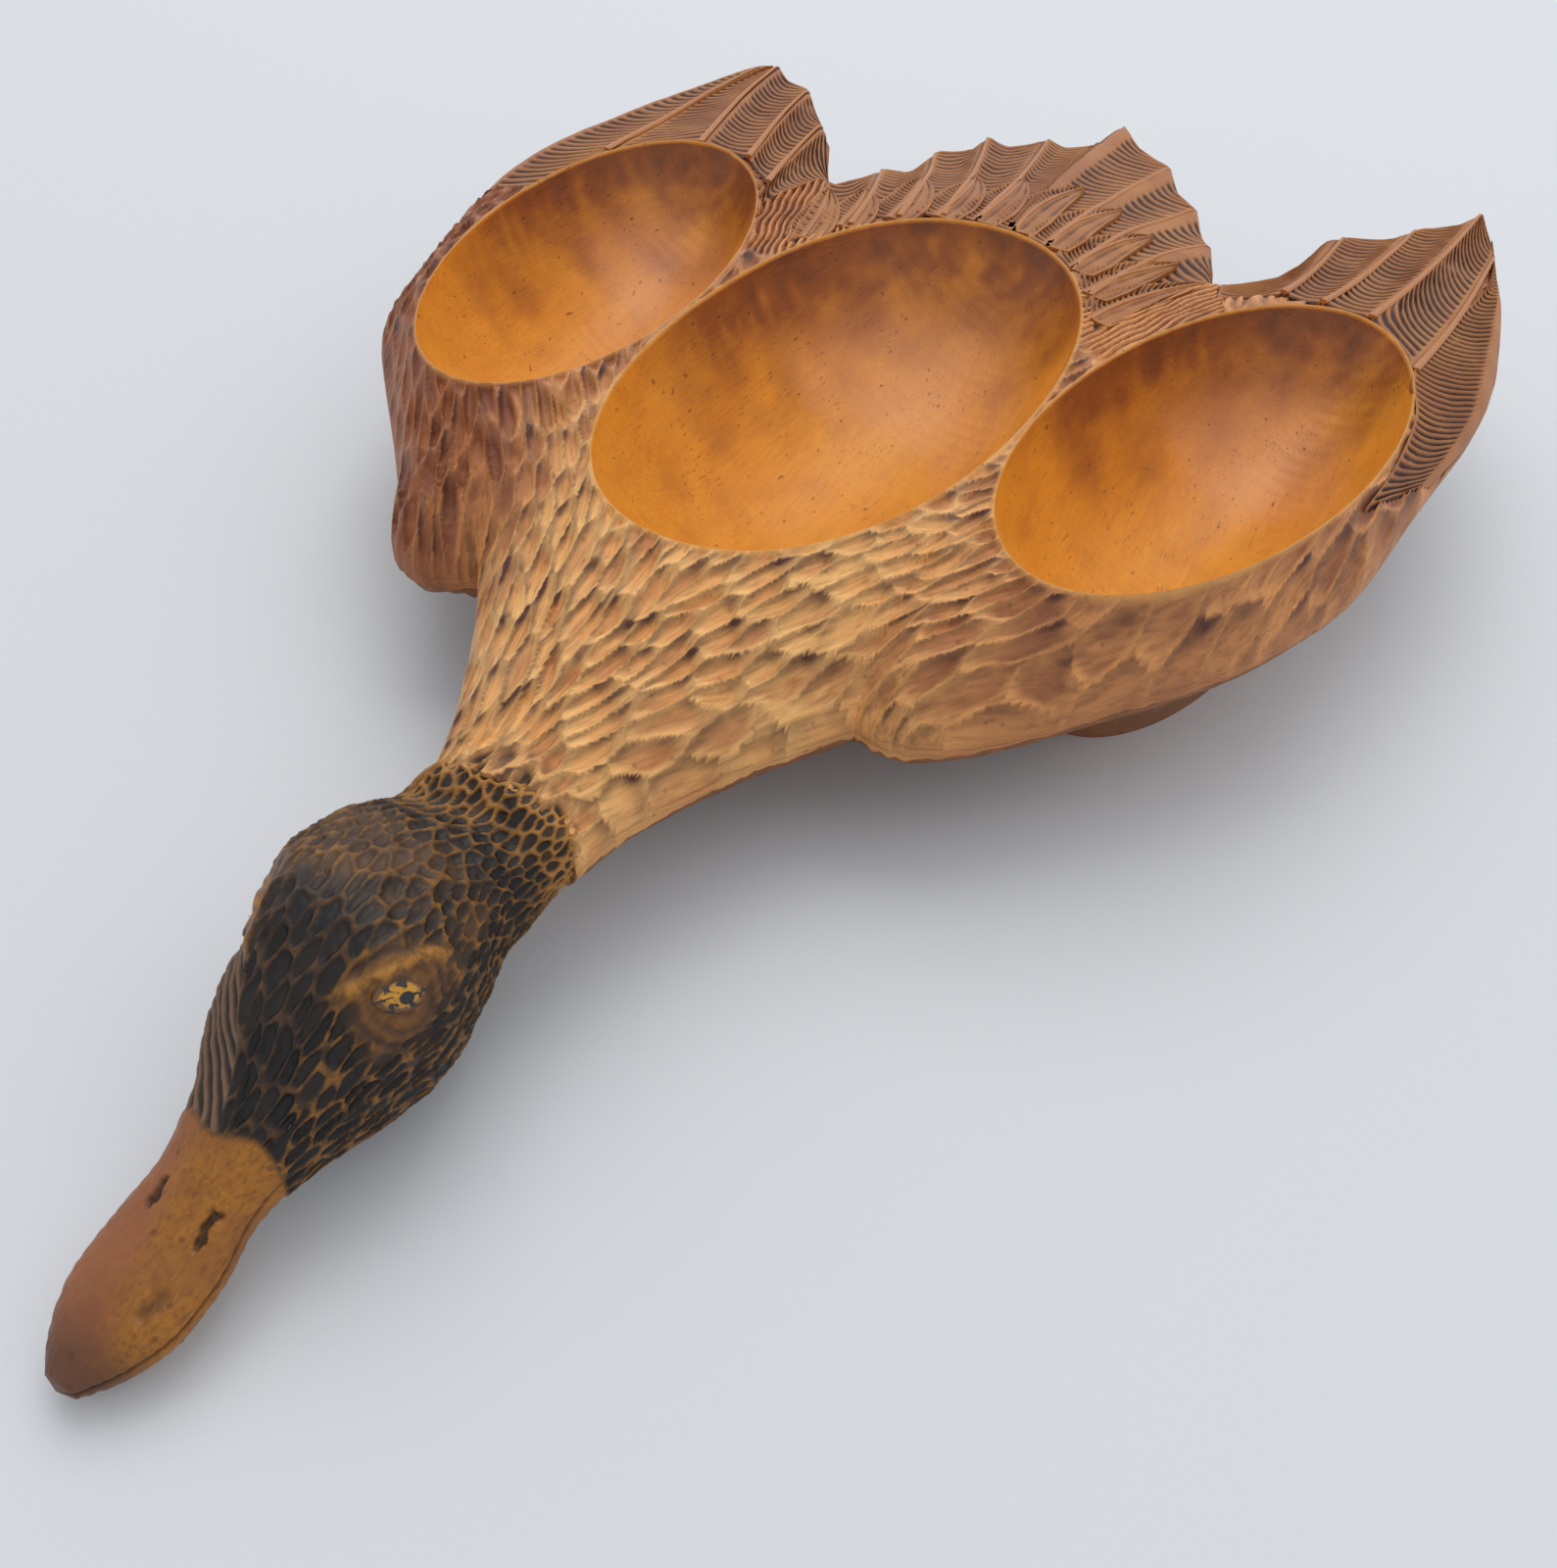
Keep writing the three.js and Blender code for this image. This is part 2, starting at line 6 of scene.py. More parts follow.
import bmesh
import bpy
import numpy as np
from mathutils import Matrix, Vector


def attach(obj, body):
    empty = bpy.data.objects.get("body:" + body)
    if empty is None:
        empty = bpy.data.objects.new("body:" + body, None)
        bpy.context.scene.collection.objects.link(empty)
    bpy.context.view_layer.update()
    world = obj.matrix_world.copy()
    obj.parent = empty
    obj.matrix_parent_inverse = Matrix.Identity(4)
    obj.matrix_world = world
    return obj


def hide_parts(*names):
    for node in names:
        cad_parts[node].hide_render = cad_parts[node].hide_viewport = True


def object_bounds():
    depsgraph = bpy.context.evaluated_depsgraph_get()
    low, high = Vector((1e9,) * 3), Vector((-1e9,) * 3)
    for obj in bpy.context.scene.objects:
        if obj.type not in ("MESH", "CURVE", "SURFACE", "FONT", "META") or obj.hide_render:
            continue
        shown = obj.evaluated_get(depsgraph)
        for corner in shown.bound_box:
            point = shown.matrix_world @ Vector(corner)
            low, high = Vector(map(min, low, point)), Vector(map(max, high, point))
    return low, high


bl_info = {
    "name": "Carved duck tray",
    "version": (1, 0, 0),
    "blender": (4, 5, 0),
    "location": "3D View > Sidebar > Duck tray",
    "description": "Carves and stains a wooden duck tray with three bowls",
    "category": "Add Mesh",
}

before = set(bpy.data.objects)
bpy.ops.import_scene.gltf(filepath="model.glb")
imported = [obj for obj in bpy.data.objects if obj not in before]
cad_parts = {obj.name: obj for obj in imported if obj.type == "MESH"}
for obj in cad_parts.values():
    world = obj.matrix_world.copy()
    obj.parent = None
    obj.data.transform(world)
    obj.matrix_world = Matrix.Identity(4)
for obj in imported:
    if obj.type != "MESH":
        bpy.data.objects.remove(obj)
CAD_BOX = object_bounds()

# Plan points are millimetres from the middle of the centre bowl, and heights are from the plane of the rims.
# This offset takes them to the frame of the tray.
PLAN_OFFSET = np.array([4.976, 18.15, 74.0])

# Profile of a block: its height, the rounded edge with the lip and undercut below it, and the belly, which is
# flat within REST_SHARE of the way from a bowl's middle to its rim
RIM_HEIGHT = 74.0
EDGE_ROUNDING = 0.85
EDGE_LIP = 4.0
UNDERCUT = 0.5
REST_SHARE = 0.62
BELLY_POWER = 2.6
BOWL_CURVE = 2.4
BOWL_FLATNESS = 0.8
LAND_CURVE = 1.3
RIM_BLEND = 4.0

CENTRE_BOWL = {
    "x": 0.0, "y": 0.0, "half_length": 108.0, "half_width": 55.3, "tilt": 0.0, "power": 2.15, "depth": 52.0,
}
RIGHT_BOWL = {
    "x": 102.4, "y": 19.5, "half_length": 96.0, "half_width": 42.4, "tilt": 10.9, "power": 2.0, "depth": 46.0,
}
LEFT_BOWL = {**RIGHT_BOWL, "x": -RIGHT_BOWL["x"], "tilt": -RIGHT_BOWL["tilt"]}
BOWLS = (CENTRE_BOWL, RIGHT_BOWL, LEFT_BOWL)

NECK_Y = -181.0

# Outline in plan: corners, smooth edges and feather ends
RIGHT_ARMPIT = (55.5, -109)
RIGHT_KNEE = (56.4, 8)
RIGHT_TAIL_ROOT = (74, 126)
LEFT_ARMPIT = (-58, -110)
LEFT_KNEE = (-56.4, 8)
LEFT_TAIL_ROOT = (-72, 126)
RIGHT_SEAM = [RIGHT_ARMPIT, RIGHT_KNEE, RIGHT_TAIL_ROOT]
LEFT_SEAM = [LEFT_ARMPIT, LEFT_KNEE, LEFT_TAIL_ROOT]
RIGHT_FLANK = [(22.5, NECK_Y), (25, -167), (31, -152), (41.5, -131), RIGHT_ARMPIT]
LEFT_FLANK = [LEFT_ARMPIT, (-45, -128), (-30.5, -153), (-22, -172), (-19.5, NECK_Y)]
RIGHT_WING_EDGE = [
    RIGHT_ARMPIT, (64, -110.5), (74, -107), (88, -96), (103, -80), (130, -49), (144, -26), (153, -4),
    (160, 40), (166.5, 80), (168, 112), (164, 155), (157.5, 195), (152, 225), (146, 248),
]
LEFT_WING_EDGE = [
    (-146, 224), (-154, 215), (-160, 197), (-164, 172), (-171, 147), (-176.5, 115), (-178, 88), (-174.5, 57),
    (-167, 25), (-158, -5), (-153, -24), (-148, -39), (-136, -53), (-113, -77), (-100, -91.5), (-93, -102.5),
    (-84.5, -112.5), (-73.5, -116.5), (-65, -114.5), LEFT_ARMPIT,
]
RIGHT_WING_FEATHERS = [
    (146, 248), (138, 229), (127, 216), (119, 200), (105, 190), (98, 182), (96, 163), (89, 144),
    RIGHT_TAIL_ROOT,
]
LEFT_WING_FEATHERS = [
    LEFT_TAIL_ROOT, (-82, 144), (-91, 163), (-99, 173), (-112, 192), (-122, 206), (-133, 211), (-146, 224),
]
TAIL_FEATHERS = [
    RIGHT_TAIL_ROOT, (70, 145), (64, 167), (58, 178), (50, 199), (38, 215), (29, 235), (12, 250), (3, 264),
    (-4, 274), (-6, 241), (-16, 231), (-24, 234), (-36, 218), (-47, 222), (-48, 204), (-54, 196), (-58, 192),
    (-59, 163), (-66, 158), (-68, 142), LEFT_TAIL_ROOT,
]
EDGE_TOP = [(NECK_Y, -24), (-150, -21), (-110, -20), (-54, -15), (0, -9), (60, -6), (130, -6)]
WING_EDGE_TOP = [*EDGE_TOP, (170, -4)]
TAIL_EDGE_TOP = [*EDGE_TOP, (170, -11)]
EDGE_RADIUS = [(NECK_Y, 14), (-150, 16), (-110, 16.5), (-54, 14), (0, 10.5), (60, 8), (110, 6.5), (170, 5)]

# Feather shafts, each from its root beside a bowl to its tip, outermost first, with a sideways bow
RIGHT_WING_SHAFTS = [
    ((144, 86), (155, 214), 2.0),
    ((126, 117), (146, 250), 2.0),
    ((110, 119), (127, 218), 2.0),
    ((97, 122), (105, 192), 1.5),
    ((79, 105), (76, 128), 0.0),
]
LEFT_WING_SHAFTS = [
    ((-146, 88), (-151, 216), -2.0),
    ((-122, 115), (-146, 226), -2.5),
    ((-101, 114), (-122, 208), -2.0),
    ((-84, 98), (-99, 175), -2.0),
    ((-76, 78), (-74, 128), 0.0),
]
TAIL_RIGHT_SHAFTS = [
    ((4, 111), (-4, 276), -3.0),
    ((20, 107), (29, 237), -3.0),
    ((33, 96), (50, 201), -3.0),
    ((44, 78), (64, 169), -2.5),
    ((54, 54), (74, 128), 0.0),
]
TAIL_LEFT_SHAFTS = [
    ((4, 111), (-4, 276), -3.0),
    ((-8, 111), (-24, 236), 2.0),
    ((-20, 108), (-47, 224), 2.5),
    ((-32, 98), (-58, 194), 2.5),
    ((-43, 82), (-66, 160), 2.0),
    ((-54, 56), (-72, 128), 0.0),
]
# Short feathers over the roots of the tail: root, tip, half width, bow and lift
TAIL_COVERTS = [
    ((-51, 62), (-66, 112), 8.0, 1.5, 0.1),
    ((-45, 78), (-55, 120), 9.0, 1.5, 0.2),
    ((-34, 94), (-44, 146), 9.5, 2.0, 0.3),
    ((-21, 105), (-27, 158), 9.5, 2.0, 0.4),
    ((-8, 109), (-11, 166), 9.5, 1.5, 0.5),
    ((50, 62), (72, 118), 8.5, -2.5, 0.2),
    ((43, 78), (60, 128), 9.0, -2.5, 0.3),
    ((33, 92), (46, 146), 9.5, -3.0, 0.4),
    ((20, 104), (29, 163), 9.5, -3.0, 0.5),
    ((6, 109), (10, 176), 9.5, -2.5, 0.6),
]

# The vane along each wing's leading edge: its outer and its inner border
RIGHT_WING_LEAD = (
    [(159.8, 43), (166.6, 80), (168.2, 112), (164.2, 155), (157.5, 195), (152, 222)],
    [(146, 4), (149, 30), (149, 60), (144, 86), (149, 134), (156, 174), (153, 222)],
)
LEFT_WING_LEAD = (
    [(-171, 46), (-177, 88), (-175.8, 115), (-170.3, 147), (-163.3, 172), (-159.3, 197), (-148, 219)],
    [(-146, 44), (-146, 75), (-146, 108), (-148.5, 148), (-149, 190), (-147, 219)],
)
# Looks of the vanes: where across them the barbs run, how these bend, points across, barb spacing
WING_STYLE = {"barbs": (0.14, 0.97), "curve": (0.45, 1.3), "columns": 24}
TAIL_RIGHT_STYLE = {"barbs": (0.26, 0.97), "curve": (0.03, 0.7), "columns": 18, "spacing": 1.25}
TAIL_LEFT_STYLE = {"barbs": (0.14, 0.95), "curve": (0.5, 1.3), "columns": 16, "spacing": 1.2}
COVERT_COMB = {"barbs": (0.3, 0.95), "curve": (0.0, 0.7), "columns": 10, "spacing": 0.6, "dish": 0.4}
COVERT_LINES = {
    "barbs": (0.1, 0.97), "curve": (0.0, 1.0), "columns": 9, "spacing": 0.9, "dish": 0.4, "lines": 2,
}
# Shape of one barb along the vane, from the bottom of its groove over the ridge to the next groove
BARB_PROFILE = np.array([1.0, 0.9, 0.15, 0.0, 0.55])
RIM_STRIP = 1.1
SHAFT_SIDES = 8

# Direction of the gouge cuts, in degrees from the tail's direction toward +X, at places over the front
GOUGE_FLOW = [
    (-83, -93, -34), (-70, -84, -37), (-55, -77, -42), (-70, -113, -26), (-120, -62, -38), (-150, -20, -18),
    (-168, 30, -6), (-30, -106, -27), (-26, -130, -26), (-11, -160, -24), (-11, -119, -14), (-1, -124, -1),
    (16, -149, 27), (21, -113, 31), (45, -107, 30), (35, -142, 27), (59, -70, 27), (68, -85, 49), (92, -80, 48),
    (103, -76, 38), (121, -57, 29), (133, -38, 12), (142, -20, 5), (149, 0, 3), (82, -97, 46), (5, -178, 20),
]

# The torn knob at the front of the left wing, and the spacing of the long cuts between the bowls
KNOB = (-80.0, -108.0)
FAN_SPACING = 2.4

# Density of the meshes: points along the outline and over the land, and the coarser bowl and belly
SEAM_STEP = 0.8
WING_EDGE_STEP = 0.6
TIP_STEP = 1.5
BODY_PITCH = 0.78
WING_PITCH = 0.6
COARSE_STEP = 4
BOWL_RINGS = 50
BELLY_SHARES = (0.93, 0.8, 0.6, 0.35, 0.12, 0.0, -0.18, REST_SHARE - 1, -0.7)
# Beyond this y the top of a block is under feathers, and its points are further apart
FEATHERS_FROM = 128.0
HIDDEN_PITCH = 5.0
SHARP_ANGLE = 55
BOX_MARGIN = 2e-5
# Places tried for the gouge cuts and for the head's scales, and the tiles in which the nearest are looked for
GOUGE_TRIES = 42000
SCALE_TRIES = 26000
TILE = 15
TILE_REACH = 16
BATCH = 20000
BOWL, CARVED, FEATHERED, UNDERSIDE = range(4)

# Head sections from the neck joint to the bill's tip: y, middle x and z, half width and half height
HEAD_SECTIONS = [
    (-181, 1.5, -33.5, 20.8, 15), (-189, -1.5, -38.5, 21.5, 16), (-200, -5, -39.5, 23.5, 22),
    (-214, -4, -40, 26, 27), (-227, -1, -40.5, 25, 29), (-238, 0, -42, 21.5, 26.5),
    (-248, -0.8, -45, 19.5, 20.5),
    (-258, -1, -49.5, 15.5, 13.5), (-270, -1.2, -54.5, 12.5, 9.5), (-282, -1.2, -58.5, 14, 7.5),
    (-294, -1.5, -61.5, 13.5, 7.5), (-303, -2.5, -64.5, 9.5, 6), (-309, -3.5, -67, 4.5, 3.5),
]
# Narrower sections that run on into the neck, out of sight
HIDDEN_NECK = [(-166, 2.2, -35.5, 14.5, 9), (-173.5, 2.0, -34.6, 18.4, 12.4)]
HEAD_SQUARENESS = 2.2
HEAD_MIDDLE = -1.0
HEAD_GRID = (300, 290)
BILL_TIP = 1.0

# Places on the head
EYE = (19.3, -232.2, -24.2)
EYE_LONG_WAY = (4.4, 7.3, -4.3)
EYE_SHORT_WAY = (-3.1, 5.7, 8.6)
EYE_HALF_LONG = 5.6
EYE_HALF_SHORT = 3.4
EYE_GRID = (44, 96)
BROW = [
    (11.5, -239, -20.5), (13.3, -236.6, -19.4), (16.2, -230.7, -19.5), (17.9, -224.5, -20.8),
    (19.2, -219.2, -24.4),
]
CREST = [
    (-17, -222, -18), (-15, -231, -18), (-13.4, -237.3, -19.7), (-9, -245.2, -23), (-4.7, -252.5, -29.8),
    (-2.7, -258.8, -36.5), (-1.1, -264.3, -40.9),
]
RIGHT_NOSTRIL = ((6.2, -275.5, -49.1), (6.8, -280.5, -51.3))
LEFT_NOSTRIL = ((-7.0, -276.0, -49.0), (-7.1, -279.5, -50.4))
BILL_DENT = ((7, -290.5, -54.4), (5.5, -294.5, -55))
BILL_NAIL = ((0.9, -308.4, -64.1), (1.4, -304.6, -61.5))

FLOOR_HALF = 30.0
LOOK_AT = (0, 0, 0.04)
CAMERA_PLACE = (0.14578, -0.31455, 0.2595)
CAMERA_ANGLES = (25.12, 45.41, 4.47)
CAMERA_LENS = 30.375


def resample(points, step):
    """Points at equal spacing along a line."""
    lengths = np.hypot(*np.diff(points, axis=0).T)
    travelled = np.concatenate([[0.0], np.cumsum(lengths)])
    count = max(2, int(round(travelled[-1] / step)))
    at = np.linspace(0, travelled[-1], count + 1)
    return np.column_stack([np.interp(at, travelled, points[:, k]) for k in range(points.shape[1])])


def through(points, count):
    """Rows of numbers on a smooth curve through the given rows."""
    p = np.array(points, float)
    last = len(p) - 1
    t = np.linspace(0, last, count)
    i = np.minimum(t.astype(int), last - 1)
    w = (t - i)[:, None]
    p0, p1, p2, p3 = (p[np.clip(i + k, 0, last)] for k in (-1, 0, 1, 2))
    v0 = (p2 - p0) / 2
    v1 = (p3 - p1) / 2
    return (2 * p1 - 2 * p2 + v0 + v1) * w**3 + (-3 * p1 + 3 * p2 - 2 * v0 - v1) * w**2 + v0 * w + p1


def spline(points, step):
    """A smooth line through the points, in equal steps."""
    return resample(through(points, len(points) * 24), step)


def straight(points, step):
    """Straight stretches through the points, keeping each corner."""
    p = np.array(points, float)
    parts = [resample(p[i:i + 2], step)[:-1] for i in range(len(p) - 1)]
    return np.vstack([*parts, p[-1:]])


def join_lines(*lines):
    """Lines that meet end to end, as one closed loop."""
    out = []
    for line in lines:
        for point in line:
            if not out or math.dist(point, out[-1]) > 0.05:
                out.append(tuple(point))
    if math.dist(out[0], out[-1]) < 0.05:
        out.pop()
    return np.array(out)


def table(rows, at):
    """Values between the rows of a two-column table."""
    rows = np.array(rows, float)
    return np.interp(at, rows[:, 0], rows[:, 1])


def smooth(low, high, value):
    """A soft step from 0 at low to 1 at high."""
    t = np.clip((value - low) / (high - low), 0, 1)
    return t * t * (3 - 2 * t)


def rim_share(bowl, x, y):
    """Share of the way from a bowl's middle to its rim: 1 on the rim."""
    t = math.radians(bowl["tilt"])
    dx = x - bowl["x"]
    dy = y - bowl["y"]
    across = np.abs(dx * math.cos(t) - dy * math.sin(t)) / bowl["half_width"]
    along = np.abs(dx * math.sin(t) + dy * math.cos(t)) / bowl["half_length"]
    return (across ** bowl["power"] + along ** bowl["power"]) ** (1 / bowl["power"])


def bowl_distance(x, y, share=1.0):
    """Distance from plan points to the nearest bowl's rim, or to a ring at a share of the way to it."""
    nearest = np.full(np.shape(x), np.inf)
    for bowl in BOWLS:
        reach = np.hypot(x - bowl["x"], y - bowl["y"])
        nearest = np.minimum(nearest, reach * (1 - share / np.maximum(rim_share(bowl, x, y), 1e-6)))
    return np.maximum(nearest, 0)


OUTER_EDGE = np.vstack([
    spline(RIGHT_FLANK, 4), spline(RIGHT_WING_EDGE, 4), RIGHT_WING_FEATHERS,
    TAIL_FEATHERS, LEFT_WING_FEATHERS, spline(LEFT_WING_EDGE, 4), spline(LEFT_FLANK, 4),
])


def edge_distance(x, y):
    """Distance from plan points to the outer edge, in batches to keep the arrays small."""
    x = np.atleast_1d(np.asarray(x, float)).ravel()
    y = np.atleast_1d(np.asarray(y, float)).ravel()
    a = OUTER_EDGE[:-1]
    d = OUTER_EDGE[1:] - a
    square = np.maximum((d**2).sum(1), 1e-9)
    out = np.empty(len(x))
    for start in range(0, len(x), BATCH):
        px = x[start:start + BATCH, None]
        py = y[start:start + BATCH, None]
        t = np.clip(((px - a[:, 0]) * d[:, 0] + (py - a[:, 1]) * d[:, 1]) / square, 0, 1)
        out[start:start + BATCH] = np.hypot(px - a[:, 0] - t * d[:, 0], py - a[:, 1] - t * d[:, 1]).min(1)
    return out


def edge_drop(distance, radius):
    """How far the rounded edge falls away at a distance from the outline."""
    inside = np.minimum(1, distance / radius)
    return EDGE_ROUNDING * radius * (1 - np.sqrt(np.maximum(0, 1 - (1 - inside) ** 2)))


def land_height(x, y, edge_top):
    """Height of the uncarved top between the rims and the outer edge."""
    edge = edge_distance(x, y)
    bowl = bowl_distance(x, y)
    share = bowl / np.maximum(bowl + edge, 1e-6)
    drop = edge_drop(edge, table(EDGE_RADIUS, y)) * np.minimum(1, bowl / RIM_BLEND)
    return table(edge_top, y) * share**LAND_CURVE - drop


def belly_height(x, y, edge_top):
    """Height of the sides and of the underside, flat under each bowl."""
    edge = edge_distance(x, y)
    bowl = bowl_distance(x, y, REST_SHARE)
    share = bowl / np.maximum(bowl + edge, 1e-6)
    radius = table(EDGE_RADIUS, y)
    edge_bottom = table(edge_top, y) - EDGE_ROUNDING * radius - EDGE_LIP
    bulge = UNDERCUT * radius * np.sqrt(np.maximum(0, 1 - (1 - np.minimum(1, edge / radius)) ** 2))
    return -RIM_HEIGHT + (edge_bottom - bulge + RIM_HEIGHT) * (1 - (1 - share) ** BELLY_POWER)


def ripple(x, y, size, seed, z=0.0):
    """Smooth uneven waves between -1 and 1, about size millimetres long."""
    rng = np.random.default_rng(seed)
    total = 0.0
    for _ in range(9):
        direction = rng.normal(size=3)
        direction *= 2 * math.pi / size * rng.uniform(0.7, 1.5) / np.linalg.norm(direction)
        total = total + np.sin(direction[0] * x + direction[1] * y + direction[2] * z + rng.uniform(0, 6.3))
    return total / 4.2


def inside_loop(loop, x, y):
    """True for plan points inside a closed loop."""
    inside = np.zeros(len(x), bool)
    ax, ay = loop.T
    bx, by = np.roll(loop, -1, axis=0).T
    for x0, y0, x1, y1 in zip(ax, ay, bx, by):
        if y0 == y1:
            continue
        crosses = (y0 > y) != (y1 > y)
        inside ^= crosses & (x < (x1 - x0) * (y - y0) / (y1 - y0) + x0)
    return inside


# Gouge cuts

def flow_angle(x, y):
    """Direction of the cuts at plan points, blended from the noted places."""
    places = np.array(GOUGE_FLOW, float)
    d2 = (x[:, None] - places[:, 0]) ** 2 + (y[:, None] - places[:, 1]) ** 2
    weight = 1 / (d2 + 60) ** 1.6
    angle = np.radians(places[:, 2])
    return np.arctan2((weight * np.sin(angle)).sum(1), (weight * np.cos(angle)).sum(1))


class Cells:
    """Carved cuts or scales packed side by side, each with its own place, direction, size and tone."""

    def __init__(self, points, along, across, length, width, spacing, seed):
        rng = np.random.default_rng(seed)
        count = len(points)
        lean = rng.normal(0, 0.07, count)[:, None]
        along, across = along + lean * across, across - lean * along
        length = length * rng.uniform(0.72, 1.3, count)
        width = width * rng.uniform(0.8, 1.2, count)
        kept = []
        chosen = np.empty((count, 3))
        for i in range(count):
            away = chosen[:len(kept)] - points[i]
            if kept and (((away @ along[i]) / length[i]) ** 2 + ((away**2).sum(1) - (away @ along[i]) ** 2)
                         / width[i] ** 2).min() < spacing**2:
                continue
            chosen[len(kept)] = points[i]
            kept.append(i)
        self.points, self.along = points[kept], along[kept]
        self.length, self.width = length[kept], width[kept]
        self.tone = rng.uniform(0, 1, len(kept))
        self.depth = rng.uniform(0.7, 1.15, len(kept))

    def look(self, points):
        """For each point: distance from the nearest border, place along its own cell, and the cell's number."""
        border = np.ones(len(points))
        place = np.zeros(len(points))
        number = np.zeros(len(points), int)
        tile = np.floor(points[:, :2] / TILE).astype(int)
        order = np.lexsort((tile[:, 1], tile[:, 0]))
        steps = np.flatnonzero(np.any(np.diff(tile[order], axis=0), axis=1)) + 1
        for rows in np.split(order, steps):
            low = points[rows].min(0) - TILE_REACH
            high = points[rows].max(0) + TILE_REACH
            near = np.flatnonzero(((self.points > low) & (self.points < high)).all(1))
            if len(near) < 2:
                continue
            away = points[rows, None] - self.points[near]
            s = (away * self.along[near]).sum(2)
            t2 = (away**2).sum(2) - s * s
            s /= self.length[near]
            d = s * s + t2 / self.width[near] ** 2
            first = d.argmin(1)
            line = np.arange(len(first))
            d1 = np.sqrt(np.maximum(d[line, first], 0))
            d[line, first] = np.inf
            d2 = np.sqrt(np.maximum(d.min(1), 0))
            border[rows] = (d2 - d1) / (d2 + d1)
            place[rows] = s[line, first]
            number[rows] = near[first]
        return border, place, number


@functools.cache
def gouge_cells():
    """Long cuts over the breast and the front of both wings, shorter towards the neck."""
    rng = np.random.default_rng(3)
    x = rng.uniform(-182, 172, GOUGE_TRIES)
    y = rng.uniform(-186, 70, GOUGE_TRIES)
    near_neck = smooth(-150, -178, y)
    left = smooth(-20, -60, x)
    right = smooth(60, 95, x)
    length = 9.0 + 0.8 * left + 2.4 * right - 3.4 * near_neck
    width = 2.35 + 0.1 * left + 0.2 * right - 0.5 * near_neck
    angle = flow_angle(x, y)
    flat = np.zeros(GOUGE_TRIES)
    along = np.column_stack([np.sin(angle), np.cos(angle), flat])
    across = np.column_stack([np.cos(angle), -np.sin(angle), flat])
    return Cells(np.column_stack([x, y, flat]), along, across, length, width, 1.5, 5)


# Building meshes

def ring_faces(start, rings, sides):
    """Quads round a stack of closed rings that were added one after another."""
    return [
        (low + k, low + (k + 1) % sides, low + sides + (k + 1) % sides, low + sides + k)
        for low in range(start, start + (rings - 1) * sides, sides) for k in range(sides)
    ]


def stitch(faces, first, second):
    """Fills the strip between two rows of points with triangles."""
    i = j = 0
    n = len(first) - 1
    m = len(second) - 1
    while i < n or j < m:
        if j >= m or (i < n and (i + 1) * m <= (j + 1) * n):
            faces.append((first[i], first[i + 1], second[j]))
            i += 1
        else:
            faces.append((first[i], second[j + 1], second[j]))
            j += 1


def stitch_rings(faces, fine, coarse):
    """Joins a ring of points with one that has only every fourth of them."""
    for k in range(len(coarse)):
        stop = min(COARSE_STEP * (k + 1), len(fine))
        between = [fine[i % len(fine)] for i in range(COARSE_STEP * k, stop + 1)]
        stitch(faces, between, [coarse[k], coarse[(k + 1) % len(coarse)]])


class Surface:
    """Points, faces, finishes and painted values of one piece, gathered before it becomes a mesh."""

    def __init__(self, loop=None, edge_top=None, settings=None):
        self.loop, self.edge_top, self.settings = loop, edge_top, settings
        self.points = []
        self.faces = []
        self.finish = []
        self.paint = {}
        self.count = 0

    def add_points(self, points, **paint):
        """Adds points with their painted values, 0 where none is given, and returns the first one's number."""
        start = self.count
        points = np.asarray(points, float)
        self.points.append(points)
        self.count += len(points)
        for name, values in paint.items():
            values = np.broadcast_to(np.asarray(values, float), (len(points),))
            self.paint.setdefault(name, []).append((start, values))
        return start

    def add_faces(self, faces, finish=0):
        self.faces += [tuple(int(k) for k in face) for face in faces]
        self.finish += [finish] * len(faces)

    def make(self, name, materials, sharp_angle=None):
        """The finished piece, with faces that meet at more than sharp_angle kept crisp."""
        points = (np.vstack(self.points) + PLAN_OFFSET) / 1000
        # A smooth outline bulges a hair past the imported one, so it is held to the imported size
        points = np.clip(points, np.array(CAD_BOX[0]) + BOX_MARGIN, np.array(CAD_BOX[1]) - BOX_MARGIN)
        mesh = bpy.data.meshes.new(name)
        mesh.from_pydata(points.tolist(), [], self.faces)
        mesh.polygons.foreach_set("material_index", np.array(self.finish, np.int32))
        mesh.polygons.foreach_set("use_smooth", np.ones(len(self.faces), bool))
        for key, stretches in self.paint.items():
            values = np.zeros(self.count, np.float32)
            for start, part in stretches:
                values[start:start + len(part)] = part
            mesh.attributes.new(key, "FLOAT", "POINT").data.foreach_set("value", values)
        for material in materials:
            mesh.materials.append(material)
        shape = bmesh.new()
        shape.from_mesh(mesh)
        bmesh.ops.recalc_face_normals(shape, faces=shape.faces)
        shape.to_mesh(mesh)
        shape.free()
        if mesh.validate():
            raise RuntimeError(name + " had broken faces")
        if sharp_angle:
            mesh.set_sharp_from_angle(angle=math.radians(sharp_angle))
        piece = bpy.data.objects.new(name, mesh)
        bpy.context.scene.collection.objects.link(piece)
        return piece


# Feathers

def shaft_line(shaft, count=40):
    """Points from a shaft's root to its tip, bowed sideways."""
    (x0, y0), (x1, y1), bow = shaft
    t = np.linspace(0, 1, count)
    length = math.hypot(x1 - x0, y1 - y0)
    side = np.array([(y1 - y0) / length, -(x1 - x0) / length])
    line = np.outer(1 - t, (x0, y0)) + np.outer(t, (x1, y1))
    return line + np.outer(bow * np.sin(math.pi * t), side)


